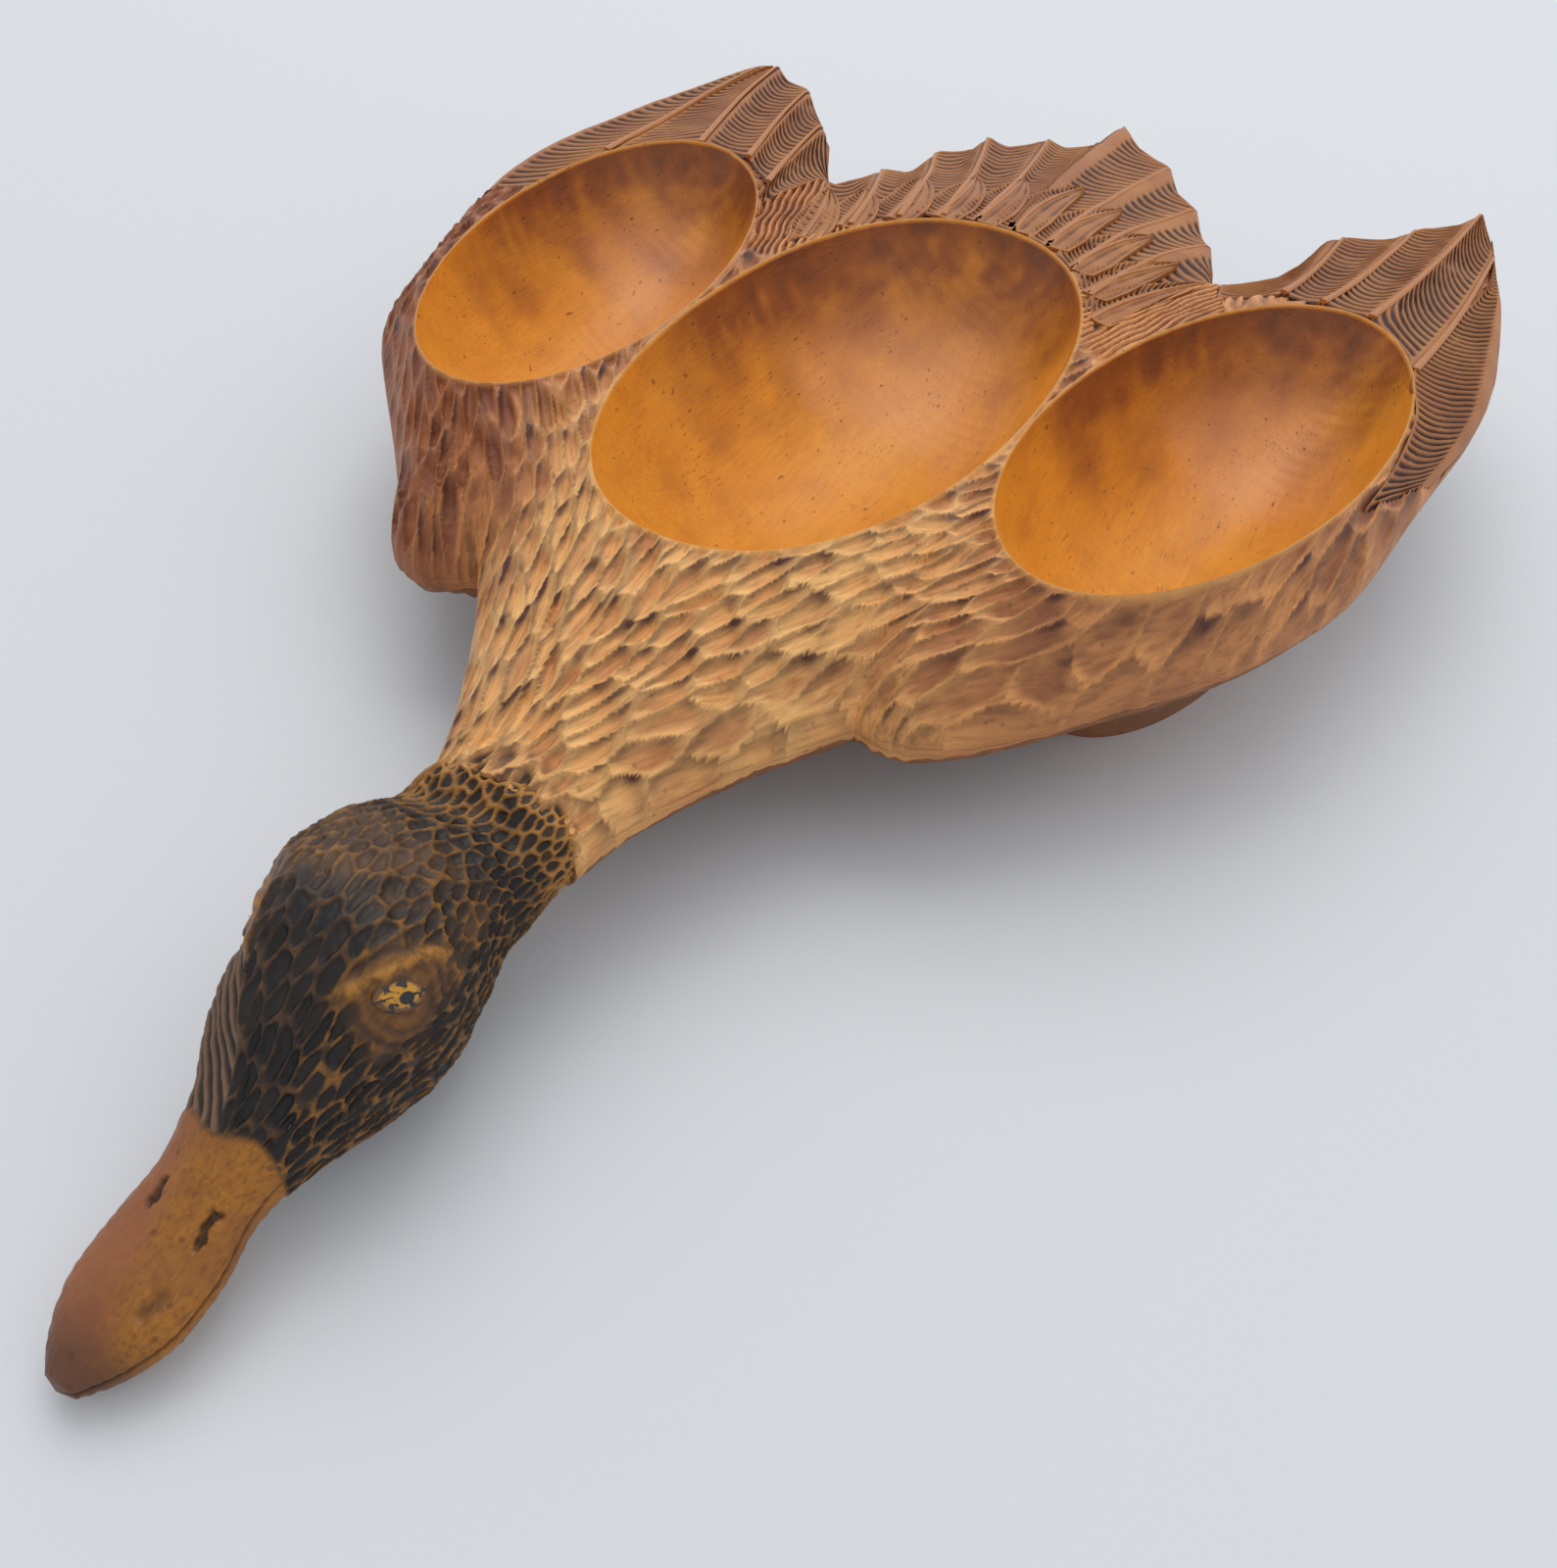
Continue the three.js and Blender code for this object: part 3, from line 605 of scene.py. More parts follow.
def sideways(line):
    """Direction to the right of a line at each of its points."""
    tangent = np.gradient(line, axis=0)
    tangent /= np.maximum(np.hypot(*tangent.T), 1e-6)[:, None]
    return np.column_stack([tangent[:, 1], -tangent[:, 0]])


def vane(surface, outer, inner, barbs, curve, columns, spacing=1.0, lift=0.0, lines=0, dish=0.9):
    """One feather's vane from a shaft across to its neighbour. Returns points along its border.

    Barbs fill the stretch barbs of the way across. They lie furthest back at the first number of curve and
    bend towards the tip by the second. With lines, long lines from root to tip take the place of the barbs.
    Each has columns points across it, its barbs are spacing times as far apart as usual, and it lies dish
    millimetres deeper in the middle.
    """
    settings = surface.settings
    across = np.linspace(0, 1, columns)
    steps_out = np.linspace(0, 1, len(outer))
    steps_in = np.linspace(0, 1, len(inner))

    def at(u, v):
        first = np.column_stack([np.interp(u, steps_out, outer[:, k]) for k in (0, 1)])
        second = np.column_stack([np.interp(u, steps_in, inner[:, k]) for k in (0, 1)])
        return first * (1 - v)[:, None] + second * v[:, None]

    # Each line along the vane runs from just outside a rim to just inside the outline
    starts, ends = [], []
    trial = np.linspace(0, 1, 401)
    for v in across:
        p = at(trial, np.full(len(trial), v))
        clear = (bowl_distance(p[:, 0], p[:, 1]) > RIM_STRIP) & (trial < 0.6)
        within = inside_loop(surface.loop, p[:, 0], p[:, 1]) & (trial > 0.3)
        starts.append(trial[clear].min() if clear.any() else 0.6)
        ends.append(trial[within].max() if within.any() else 0.62)
    starts = np.array(starts)
    length = max(np.hypot(*np.diff(outer, axis=0).T).sum(), np.hypot(*np.diff(inner, axis=0).T).sum())
    ends = np.maximum(starts + 0.01, np.array(ends) - 0.4 / length)
    breadth = np.hypot(*(at(np.array([0.5]), np.array([0.0])) - at(np.array([0.5]), np.array([1.0])))[0])
    steps = len(BARB_PROFILE)
    rows = max(12, int(length / (settings.barb_spacing * 1000 * spacing) * steps))
    r = np.linspace(0, 1, rows)
    fade = np.minimum(1, np.minimum(r / 0.12, (1 - r) / 0.16))
    bend = curve[1] * breadth / length * (across - curve[0]) ** 2
    share = np.clip(r[:, None] + bend[None, :] * fade[:, None], 0, 1)
    u = np.maximum.accumulate(starts + share * (ends - starts), axis=0).ravel()
    v = np.broadcast_to(across, (rows, columns)).ravel()
    x, y = at(u, v).T
    strength = np.clip(0.85 + 0.25 * ripple(x, y, 13, 21) + 0.15 * ripple(x, y, 3, 22), 0.35, 1.1)
    if lines:
        wave = (0.5 - 0.5 * np.cos(2 * math.pi * lines * v)) ** 1.5
        groove = wave * strength * smooth(0, 0.05, u) * lines / 4
    else:
        row = np.repeat(np.arange(rows), columns)
        fill = smooth(barbs[0] - 0.05, barbs[0] + 0.06, v) * smooth(barbs[1] + 0.03, barbs[1] - 0.06, v)
        thinner = 1 - 0.35 * smooth(barbs[0] + 0.25, barbs[1], v) * (curve[0] < 0.2)
        groove = BARB_PROFILE[row % steps] * fill * strength * thinner
        if barbs[0] < 0.16:
            # Barbs that reach the shaft end in a dark line beside it
            groove = np.maximum(groove, 0.5 * smooth(0.1, 0.06, v))
    hollow = np.sin(math.pi * v) ** 0.8
    narrow = np.minimum(1, np.hypot(*(at(u, v * 0) - at(u, v * 0 + 1)).T) / 8)
    height = land_height(x, y, surface.edge_top) + lift - 0.15 - dish * hollow * narrow
    height += 0.12 * ripple(x, y, 14, 8) - settings.barb_depth * 1000 * groove
    top = surface.add_points(
        np.column_stack([x, y, height]), groove=groove, hollow=hollow, tone=0.5 + 0.5 * ripple(x, y, 30, 4),
    )
    surface.add_faces([
        (a, a + 1, a + columns + 1, a + columns)
        for low in range(top, top + (rows - 1) * columns, columns) for a in range(low, low + columns - 1)
    ], FEATHERED)
    # A skirt and a flat underside close the vane inside the wood
    grid = np.arange(rows * columns).reshape(rows, columns)
    corner = np.concatenate([grid[0], grid[1:, -1], grid[-1, -2::-1], grid[-2:0:-1, 0]])
    sunk = np.column_stack([x[corner], y[corner], height[corner] - settings.vane_thickness * 1000])
    low = surface.add_points(sunk, groove=0.5, tone=0.5)
    centre = surface.add_points([sunk.mean(0)], groove=0.5, tone=0.5)
    faces = []
    for k in range(len(corner)):
        m = (k + 1) % len(corner)
        faces += [(top + corner[m], top + corner[k], low + k, low + m), (low + m, low + k, centre)]
    surface.add_faces(faces, FEATHERED)
    return sunk[::5, :2]


def shaft_ridge(surface, line, width, height, lift=0.0):
    """A raised shaft that tapers to its tip, sunk into the feathers."""
    line = resample(line, 2.0)
    x, y = line.T
    line = line[inside_loop(surface.loop, x, y) & (bowl_distance(x, y) > RIM_STRIP)]
    if len(line) < 4:
        return
    along = np.linspace(0, 1, len(line))
    side = sideways(line)
    base = land_height(line[:, 0], line[:, 1], surface.edge_top) + lift
    taper = (1 - 0.6 * along) * np.minimum(1, (1 - along) / 0.06 + 0.25)
    rows = []
    for k in range(SHAFT_SIDES):
        a = 2 * math.pi * k / SHAFT_SIDES
        out = math.cos(a) * width / 2 * taper
        up = math.sin(a) * height * taper
        rows.append(np.column_stack([line + side * out[:, None], base + up - 0.25]))
    # The ridge value paints the shaft paler and pinker, a painted highlight on its raised top
    start = surface.add_points(np.stack(rows, axis=1).reshape(-1, 3), tone=0.75, ridge=0.8)
    last = start + (len(line) - 1) * SHAFT_SIDES
    surface.add_faces(ring_faces(start, len(line), SHAFT_SIDES), FEATHERED)
    ends = [range(start + SHAFT_SIDES - 1, start - 1, -1), range(last, last + SHAFT_SIDES)]
    surface.add_faces(ends, FEATHERED)


def feather_row(surface, shafts, **style):
    """Vanes between neighbouring shafts, with a ridge along each shaft."""
    lines = [shaft_line(shaft) for shaft in shafts]
    covered = [vane(surface, first, second, **style) for first, second in zip(lines, lines[1:])]
    for line in lines[:-1]:
        shaft_ridge(surface, line, 2.6, 0.8)
    return covered


def covert(surface, root, tip, half_width, bow, lift):
    """A short pointed feather with a comb of deep cuts on one side of its shaft and fine lines on the other."""
    middle = shaft_line((root, tip, bow), 60)
    side = sideways(middle)
    t = np.linspace(0, 1, 60)
    profile = (half_width * np.minimum(1, 0.8 + 0.9 * t) * (1 - t**2.3) ** 0.8)[:, None]
    vane(surface, middle, middle - side * profile, lift=lift, **COVERT_COMB)
    vane(surface, middle, middle + side * profile, lift=lift, **COVERT_LINES)
    shaft_ridge(surface, middle, 1.4, 0.6, lift)


# Blocks with their bowls

def carved_land(surface, bowl, rim, covered, pitch):
    """The top between rim and outline. Returns the spokes' points, and the cuts and tones at their ends."""
    spokes = surface.loop
    counts, plan = [], []
    for start, end in zip(rim, spokes):
        length = math.dist(start, end)
        steps = max(3, int(math.ceil(length / (HIDDEN_PITCH if end[1] > FEATHERS_FROM else pitch))))
        t = np.linspace(0, 1, steps + 1)
        t[1] = min(t[1], 0.45 / max(length, 1e-6))
        if length > 4:
            t = np.sort(np.append(t, 1.5 / length))
        counts.append(len(t))
        plan += list(np.outer(1 - t, start) + np.outer(t, end))
    plan = np.array(plan)
    x, y = plan.T
    height = land_height(x, y, surface.edge_top)
    bowl_gap = bowl_distance(x, y)
    edge_gap = edge_distance(x, y)
    hidden = np.zeros(len(x))
    for patch in covered:
        hidden = np.maximum(hidden, inside_loop(patch, x, y))
    # The block is sunk under the feathers, but less beside the centre bowl, where short feathers cover it
    sunk = smooth(0.9, 1.5, bowl_gap)
    under_feathers = hidden * (0.5 * sunk + 0.5 * smooth(7, 16, bowl_gap) if bowl is CENTRE_BOWL else sunk)

    cells = gouge_cells()
    border, place, number = cells.look(np.column_stack([x, y, np.zeros(len(x))]))
    cut = smooth(-0.04, 0.56, border)
    ramp = 0.6 + 0.4 * smooth(-0.95, 0.7, place)
    side = (cells.along[number, 1] * (x - cells.points[number, 0])
            - cells.along[number, 0] * (y - cells.points[number, 1])) / cells.width[number]
    room = smooth(0.4, 1.9, bowl_gap) * (0.55 + 0.45 * smooth(0.0, 2.5, edge_gap)) * (1 - hidden)
    cut = cut * ramp * cells.depth[number] * room
    shaded = 0.45 * smooth(0.0, 0.7, place) + 0.85 * smooth(0.0, -0.5, side)
    shadow = smooth(0.6, 0.14, border) * shaded * room
    # Long fine cuts fan out between the bowls, up to the short feathers
    fan = smooth(40, 48, y) * smooth(132, 122, y) * smooth(36, 41, np.abs(x)) * smooth(100, 90, np.abs(x))
    fan = fan * smooth(0.8, 1.8, bowl_gap)
    across = np.abs(x) * 0.957 - y * 0.29 + 0.7 * ripple(x, y, 22, 44)
    long_cut = (0.5 - 0.5 * np.cos(2 * math.pi * across / FAN_SPACING)) ** 1.4
    cut = cut * (1 - fan) + 0.75 * fan * long_cut
    shadow = np.maximum(shadow * (1 - fan), 0.8 * fan * long_cut)

    depth = surface.settings.gouge_depth * 1000 * (1 + 0.35 * smooth(-45, -80, x))
    knob = smooth(30, 8, np.hypot(x - KNOB[0], y - KNOB[1]))
    height = height - depth * cut + 0.4 * ripple(x, y, 11, 12) * room
    height += room * 0.12 * ripple(x, y, 2.2, 13)
    height += smooth(10, 2, edge_gap) * smooth(-40, -70, x) * 0.7 * ripple(x, y, 5, 19) * room
    height -= knob * room * (1.3 + 1.6 * ripple(x, y, 7, 14) + 1.0 * np.abs(ripple(x, y, 4, 15)))
    height -= under_feathers * surface.settings.vane_thickness * 1000 * 0.92
    height -= 0.22 * (bowl_gap < 0.05)
    tone = cells.tone[number] * room + 0.5 * (1 - room)
    # The groove value darkens the cuts in the colour, partly as stain and partly as painted shade
    start = surface.add_points(
        np.column_stack([x, y, height]), groove=cut + 0.6 * (1 - room), tone=tone, shadow=shadow,
        turn=np.arctan2(cells.along[number, 0], cells.along[number, 1]), rim=smooth(1.2, 0.3, bowl_gap),
        stain=neck_stain(x, y) * smooth(0.25, 0.8, cut), **breast_paint(x, y),
    )
    stops = np.cumsum(counts)
    rows = [range(start + stop - n, start + stop) for stop, n in zip(stops, counts)]
    faces = []
    for first, second in zip(rows, rows[1:] + rows[:1]):
        stitch(faces, first, second)
    surface.add_faces(faces, CARVED)
    return rows, cut[stops - 1], tone[stops - 1]


def carved_block(surface, bowl, covered, pitch):
    """A block round one bowl: bowl, rim, carved land, side, lip and belly."""
    middle = np.array([bowl["x"], bowl["y"]])
    spokes = surface.loop
    rim = middle + (spokes - middle) / rim_share(bowl, *spokes.T)[:, None]
    rows, edge_cut, edge_tone = carved_land(surface, bowl, rim, covered, pitch)

    # The bowl has a quarter of the spokes
    few_rim, few_spokes = rim[::COARSE_STEP], spokes[::COARSE_STEP]
    n = len(few_rim)
    shares = 1 - (1 - np.linspace(0, 1, BOWL_RINGS)[1:-1]) ** 1.35
    starts = []
    for s in shares:
        p = middle + (few_rim - middle) * s
        z = -bowl["depth"] * (1 - s**BOWL_CURVE) ** BOWL_FLATNESS
        z = z + surface.settings.bowl_ripple * 1000 * ripple(p[:, 0], p[:, 1], 34, 31) * (1 - s) ** 0.5
        # Painted on each ring: a darkening below the far rim, part stain and part painted shade, and a painted
        # reflection
        starts.append(surface.add_points(
            np.column_stack([p, z]), smoke=bowl_smoke(bowl, p, s), sheen=bowl_sheen(bowl, p, s)))
    centre = surface.add_points([[*middle, -bowl["depth"]]])
    faces = [(centre, starts[0] + k, starts[0] + (k + 1) % n) for k in range(n)]
    faces += ring_faces(starts[0], len(starts), n)
    stitch_rings(faces, [row[0] for row in rows], range(starts[-1], starts[-1] + n))
    surface.add_faces(faces, BOWL)

    # The lip along the edge has every spoke, the side and belly again a quarter
    z = belly_height(*spokes.T, surface.edge_top) + 1.1 * edge_cut + 0.4 * ripple(*spokes.T, 4, 18)
    lip = surface.add_points(
        np.column_stack([spokes, z]), groove=0.45 + 0.5 * edge_cut, tone=edge_tone,
        stain=neck_stain(*spokes.T) * edge_cut, **breast_paint(*spokes.T),
    )
    count = len(rows)
    surface.add_faces([
        (rows[k][-1], lip + k, lip + (k + 1) % count, rows[(k + 1) % count][-1]) for k in range(count)
    ], CARVED)
    starts = []
    for s in BELLY_SHARES:
        # Down to the rim's own place the rings run from the outline inward, then on under the bowl
        p = few_rim + (few_spokes - few_rim) * s if s >= 0 else middle + (few_rim - middle) * (1 + s)
        x, y = p.T
        z = belly_height(x, y, surface.edge_top)
        z += 0.25 * ripple(x, y, 9, 17) * smooth(-70, -60, z)
        z += 1.6 * smooth(34, 12, np.hypot(x - KNOB[0], y - KNOB[1])) * ripple(x, y, 6, 20)
        starts.append(surface.add_points(np.column_stack([p, z]), groove=0.4, tone=0.4, **breast_paint(x, y)))
    faces = ring_faces(starts[0], len(starts), n)
    stitch_rings(faces, range(lip, lip + count), range(starts[0], starts[0] + n))
    centre = surface.add_points([[*middle, -RIM_HEIGHT]], groove=0.4, tone=0.4)
    faces += [(starts[-1] + k, centre, starts[-1] + (k + 1) % n) for k in range(n)]
    surface.add_faces(faces, UNDERSIDE)


def bowl_smoke(bowl, points, share):
    """How much a bowl is painted darker, part old stain and part painted shade: most below the far rim, in
    patches.
    """
    x, y = points.T
    toward_tail = (y - bowl["y"]) / bowl["half_length"] - 0.45 * (x - bowl["x"]) / bowl["half_width"]
    wall = smooth(0.4, 1.0, share + 0.16 * ripple(x, y, 26, 71))
    far = smooth(-0.25, 0.75, toward_tail + 0.2 * ripple(x, y, 34, 72))
    edge = smooth(0.86, 0.99, share + 0.05 * ripple(x, y, 9, 73)) * smooth(0.1, 0.6, toward_tail)
    return np.clip(0.6 * wall * far + 0.3 * edge, 0, 1)


def bowl_sheen(bowl, points, share):
    """How strongly a painted reflection pales and pinks a patch halfway up a bowl's far wall."""
    x, y = points.T
    toward_tail = (y - bowl["y"]) / bowl["half_length"] + 0.1 * (x - bowl["x"]) / bowl["half_width"]
    ring = smooth(0.25, 0.5, share) * smooth(0.9, 0.68, share)
    return ring * smooth(0.1, 0.42, toward_tail + 0.12 * ripple(x, y, 24, 74))


def breast_paint(x, y):
    """Shares of the golden breast and of the redder left wing at plan points."""
    wave = 8 * ripple(x, y, 30, 43)
    breast = smooth(-72, -26, x + wave) * smooth(95, 40, x + wave) * smooth(10, -70, y + wave)
    return {"breast": breast, "redder": smooth(-40, -90, x + wave)}


def neck_stain(x, y):
    """Share of dark stain where the head's feathers run onto the neck."""
    border = -176 + 5 * np.cos((x - 4) / 9) + 1.5 * ripple(x, y, 5, 41)
    return smooth(border + 1.5, border - 2.5, y)


# Head

def near_line(line, points):
    """Distance from points to a line through the given places in space."""
    line = np.array(line, float)
    best = np.full(len(points), np.inf)
    for a, b in zip(line, line[1:]):
        d = b - a
        t = np.clip((points - a) @ d / (d @ d), 0, 1)
        best = np.minimum(best, np.linalg.norm(points - a - t[:, None] * d, axis=1))
    return best


def near_pair(line, points):
    """Distance from points to a line on the head or to its mirror image on the far side."""
    mirrored = [(2 * HEAD_MIDDLE - x, y, z) for x, y, z in line]
    return np.minimum(near_line(line, points), near_line(mirrored, points))


def head_points(rows, columns):
    """A grid of points on the smooth head, its directions at each, and the heights of the sections' middles."""
    y, x, z, w, h = through([*HIDDEN_NECK, *HEAD_SECTIONS], rows).T[:, :, None]
    a = 2 * math.pi * np.arange(columns)[None, :] / columns
    c, s = np.cos(a), np.sin(a)
    bulge = (np.abs(c) ** HEAD_SQUARENESS + np.abs(s) ** HEAD_SQUARENESS) ** (-1 / HEAD_SQUARENESS)
    points = np.stack([x + w * c * bulge, y + 0 * c, z + h * s * bulge], axis=2)
    forward = np.gradient(points, axis=0)
    round_way = np.roll(points, -1, axis=1) - np.roll(points, 1, axis=1)
    out = np.cross(forward, round_way)
    for d in (forward, round_way, out):
        d /= np.maximum(np.linalg.norm(d, axis=2), 1e-9)[:, :, None]
    middle = np.stack([x + 0 * c, y + 0 * c, z + 0 * c], axis=2)
    if ((points - middle) * out).sum() < 0:
        out = -out
    return [part.reshape(-1, 3) for part in (points, forward, round_way, out)], (z + 0 * c).ravel()


def build_head(surface, settings):
    """The head and bill, with their scales, crest, brows, eye sockets, skin, nostrils and bill line."""
    rows, columns = HEAD_GRID
    (flat, forward, round_way, normal), middle_z = head_points(rows, columns)
    x, y, z = flat.T

    bill_border = -264.3 - 1.2 * np.cos((x + 3) / 3.5)
    bill = smooth(bill_border + 0.6, bill_border - 0.9, y)
    crest_x = np.interp(-y, [-p[1] for p in CREST], [p[0] for p in CREST])
    left_side = smooth(crest_x + 1.2, crest_x - 1.2, x) * smooth(-216, -224, y) * (1 - bill)

    # Scales over the head, and long ridges on its left side below the crest
    rng = np.random.default_rng(11)
    pick = rng.integers(0, len(flat), SCALE_TRIES)
    top = smooth(-30, -16, z[pick])
    front = smooth(-208, -232, y[pick])
    nape = smooth(-212, -190, y[pick])
    length = 3.4 + 3.0 * front - 0.4 * nape
    width = 1.75 + 0.35 * top - 0.15 * nape
    scales = Cells(flat[pick], forward[pick], round_way[pick], length, width, 1.3, 12)
    border, _, number = scales.look(flat)
    cut = smooth(0.05, 0.32, border) * scales.depth[number] * (1 - bill) * (1 - left_side)
    down = ((x - crest_x) * 0.9 + z * 0.8) * 2 * math.pi / 3.4
    ridges = 0.5 + 0.5 * np.sin(down + 0.8 * ripple(x, y, 20, 61, z))
    cut = np.maximum(cut, left_side * ridges * 0.9)

    brow = np.exp(-(near_pair(BROW, flat) / 1.5) ** 2)
    eye = near_pair([EYE, (EYE[0] + 0.1, *EYE[1:])], flat)
    socket = smooth(8.5, 5.0, eye)
    skin = smooth(15, 6, eye + 2.5 * ripple(x, y, 9, 65, z)) * (1 - bill)
    folds = 0.5 + 0.5 * np.sin(eye * 2.1 + 2.2 * ripple(x, y, 14, 66, z))
    cut = cut * (1 - brow) * (1 - 0.75 * skin) + 0.5 * skin * folds * (1 - socket)
    step = 0.9 * smooth(0.5, -1.0, x - crest_x) * smooth(-218, -226, y) * (1 - bill)
    nostril = np.minimum(near_line(RIGHT_NOSTRIL, flat), near_line(LEFT_NOSTRIL, flat))
    nostril = smooth(1.3, 0.5, nostril + 0.7 * ripple(x, y, 2.2, 64, z))
    gape = np.exp(-((z - middle_z - 1.1) / 0.5) ** 2) * smooth(-262, -267, y) * (np.abs(normal[:, 0]) > 0.3)
    dent = np.exp(-(near_line(BILL_DENT, flat) / 1.5) ** 2)
    nail = np.exp(-(near_line(BILL_NAIL, flat) / 2.6) ** 2)
    above = smooth(-0.2, 0.5, normal[:, 2])
    keel = np.exp(-((x + 1.8) / 2.6) ** 2) * smooth(-266, -272, y) * smooth(-303, -290, y) * above

    move = -settings.scale_depth * 1000 * cut
    move += 0.9 * brow - 0.8 * socket * (1 - brow) - step
    move += bill * (-0.7 - 0.8 * gape - 1.1 * nostril - 0.9 * dent + 0.5 * nail + 0.5 * keel)
    move += 0.35 * ripple(x, y, 10, 62, z) * (1 - 0.8 * bill) + 0.1 * ripple(x, y, 2.5, 63, z)
    flat = flat + normal * (move * smooth(-173, -177, y))[:, None]
    # The hole value paints the nostrils, the bill line and the dent dark, as painted shade
    start = surface.add_points(
        flat, groove=np.clip(cut, 0, 1.2), ridge=np.clip(1 - cut * 1.25, 0, 1) * (1 - bill),
        golden=smooth(-196, -178, y + 9 * (scales.tone[number] - 0.5)), skin=skin * (1 - 0.5 * folds),
        tone=scales.tone[number], bill=bill, grey=left_side,
        black=smooth(crest_x, crest_x + 2, x) * smooth(12, 8, x) * smooth(-221, -227, y) * (1 - bill),
        olive=smooth(-228, -220, y) * smooth(-197, -204, y) * smooth(-34, -27, z),
        brow=np.clip(brow * 1.3, 0, 1) * (1 - bill),
        hole=np.clip(nostril + 0.7 * gape * bill + 0.6 * dent, 0, 1),
        redder=smooth(1, -8, x + 0.3 * (y + 280)) * bill, tip=smooth(-296, -307, y),
    )
    base = surface.add_points([flat[:columns].mean(0)])
    x0, y0, z0 = flat[-columns:].mean(0)
    tip = surface.add_points([(x0, y0 - BILL_TIP, z0)], bill=1.0, tip=1.0)
    last = start + (rows - 1) * columns
    faces = ring_faces(start, rows, columns)
    for c in range(columns):
        d = (c + 1) % columns
        faces += [(start + d, start + c, base), (last + c, last + d, tip)]
    surface.add_faces(faces)


def build_eye(surface, side):
    """A carved almond eye standing in its socket, painted with a pupil and dark strokes."""
    middle = np.array(EYE)
    long_way = np.array(EYE_LONG_WAY) / np.linalg.norm(EYE_LONG_WAY)
    normal = np.cross(long_way, EYE_SHORT_WAY)
    normal /= np.linalg.norm(normal)
    if normal[0] < 0:
        normal = -normal
    short_way = np.cross(normal, long_way)
    rings, sides = EYE_GRID
    r, a = np.meshgrid(np.linspace(0, 1, rings)[1:], 2 * math.pi * np.arange(sides) / sides, indexing="ij")
    u = (r * EYE_HALF_LONG * np.cos(a)).ravel()
    v = (r * EYE_HALF_SHORT * np.sin(a) * (0.86 + 0.14 * np.abs(np.sin(a)))).ravel()
    lift = np.sqrt(np.maximum(0, 1 - r**2.6)).ravel() - 0.95
    points = middle + np.outer(u, long_way) + np.outer(v, short_way) + np.outer(lift, normal)
    points = np.vstack([points, middle + normal * 0.6, middle - normal * 2.4])
    # The far eye sits a little deeper, as the head is narrower there
    sink = 2.6 if side < 0 else 0.4
    points[:, 0] = HEAD_MIDDLE + (points[:, 0] - HEAD_MIDDLE - sink) * side
    start = surface.add_points(points[:-2], eye_long=u, eye_short=v)
    pole = surface.add_points(points[-2:-1])
    behind = surface.add_points(points[-1:], eye_long=9.0)
    last = start + (rings - 2) * sides
    faces = ring_faces(start, rings - 1, sides)
    for k in range(sides):
        m = (k + 1) % sides
        faces += [(pole, start + k, start + m), (last + k, behind, last + m)]
    surface.add_faces(faces)


# Materials

def shade(red, green, blue):
    """A screen colour, 0 to 255, as the linear colour that a shader takes."""
    linear = []
    for value in (red, green, blue):
        value /= 255
        linear.append(value / 12.92 if value <= 0.04045 else ((value + 0.055) / 1.055) ** 2.4)
    return tuple(linear)


class Nodes:
    """Adds shader nodes to a tree and wires their inputs from sockets or plain values."""

    def __init__(self, tree):
        self.tree = tree

    def add(self, kind, values=None, **settings):
        made = self.tree.nodes.new(kind)
        for key, value in settings.items():
            setattr(made, key, value)
        for key, value in (values or {}).items():
            if isinstance(value, bpy.types.NodeSocket):
                self.tree.links.new(value, made.inputs[key])
            else:
                if isinstance(value, tuple) and len(value) == 3 and made.inputs[key].type == "RGBA":
                    value = (*value, 1)
                made.inputs[key].default_value = value
        return made

    def painted(self, name):
        return self.add("ShaderNodeAttribute", attribute_name=name).outputs["Fac"]

    def math(self, operation, first, second=0.0, clamp=False):
        made = self.add("ShaderNodeMath", {0: first, 1: second}, operation=operation, use_clamp=clamp)
        return made.outputs[0]

    def plus(self, first, second):
        return self.math("ADD", first, second)

    def times(self, first, second):
        return self.math("MULTIPLY", first, second)

    def mix(self, share, first, second):
        return self.add("ShaderNodeMix", {0: share, 6: first, 7: second}, data_type="RGBA").outputs[2]

    def span(self, value, low, high, to_low=0.0, to_high=1.0):
        return self.add("ShaderNodeMapRange", {0: value, 1: low, 2: high, 3: to_low, 4: to_high}).outputs[0]

    def noise(self, place, scale, detail=3.0, roughness=0.55):
        return self.add("ShaderNodeTexNoise", {"Vector": place, "Scale": scale, "Detail": detail,
                                               "Roughness": roughness}).outputs["Fac"]

    def stretch(self, place, size):
        return self.add("ShaderNodeMapping", {"Vector": place, "Scale": size}).outputs[0]

    def place(self):
        return self.add("ShaderNodeTexCoord").outputs["Object"]

    def group(self, name, values):
        """One of the shared groups, which are made on their first use."""
        if name not in bpy.data.node_groups:
            make_groups()
        return self.add("ShaderNodeGroup", values, node_tree=bpy.data.node_groups[name]).outputs

    def give(self, out, **values):
        """Links values to the outputs of a group."""
        for name, value in values.items():
            self.tree.links.new(value, out.inputs[name])

    def bump(self, height, distance, strength):
        values = {"Height": height, "Distance": distance, "Strength": strength}
        return self.add("ShaderNodeBump", values).outputs["Normal"]

    def tint(self, colour, *layers):
        """Lays stains over a colour, each given as its mask, its strength and its screen colour."""
        for mask, strength, stain in layers:
            colour = self.mix(self.times(mask, strength), colour, shade(*stain))
        return colour


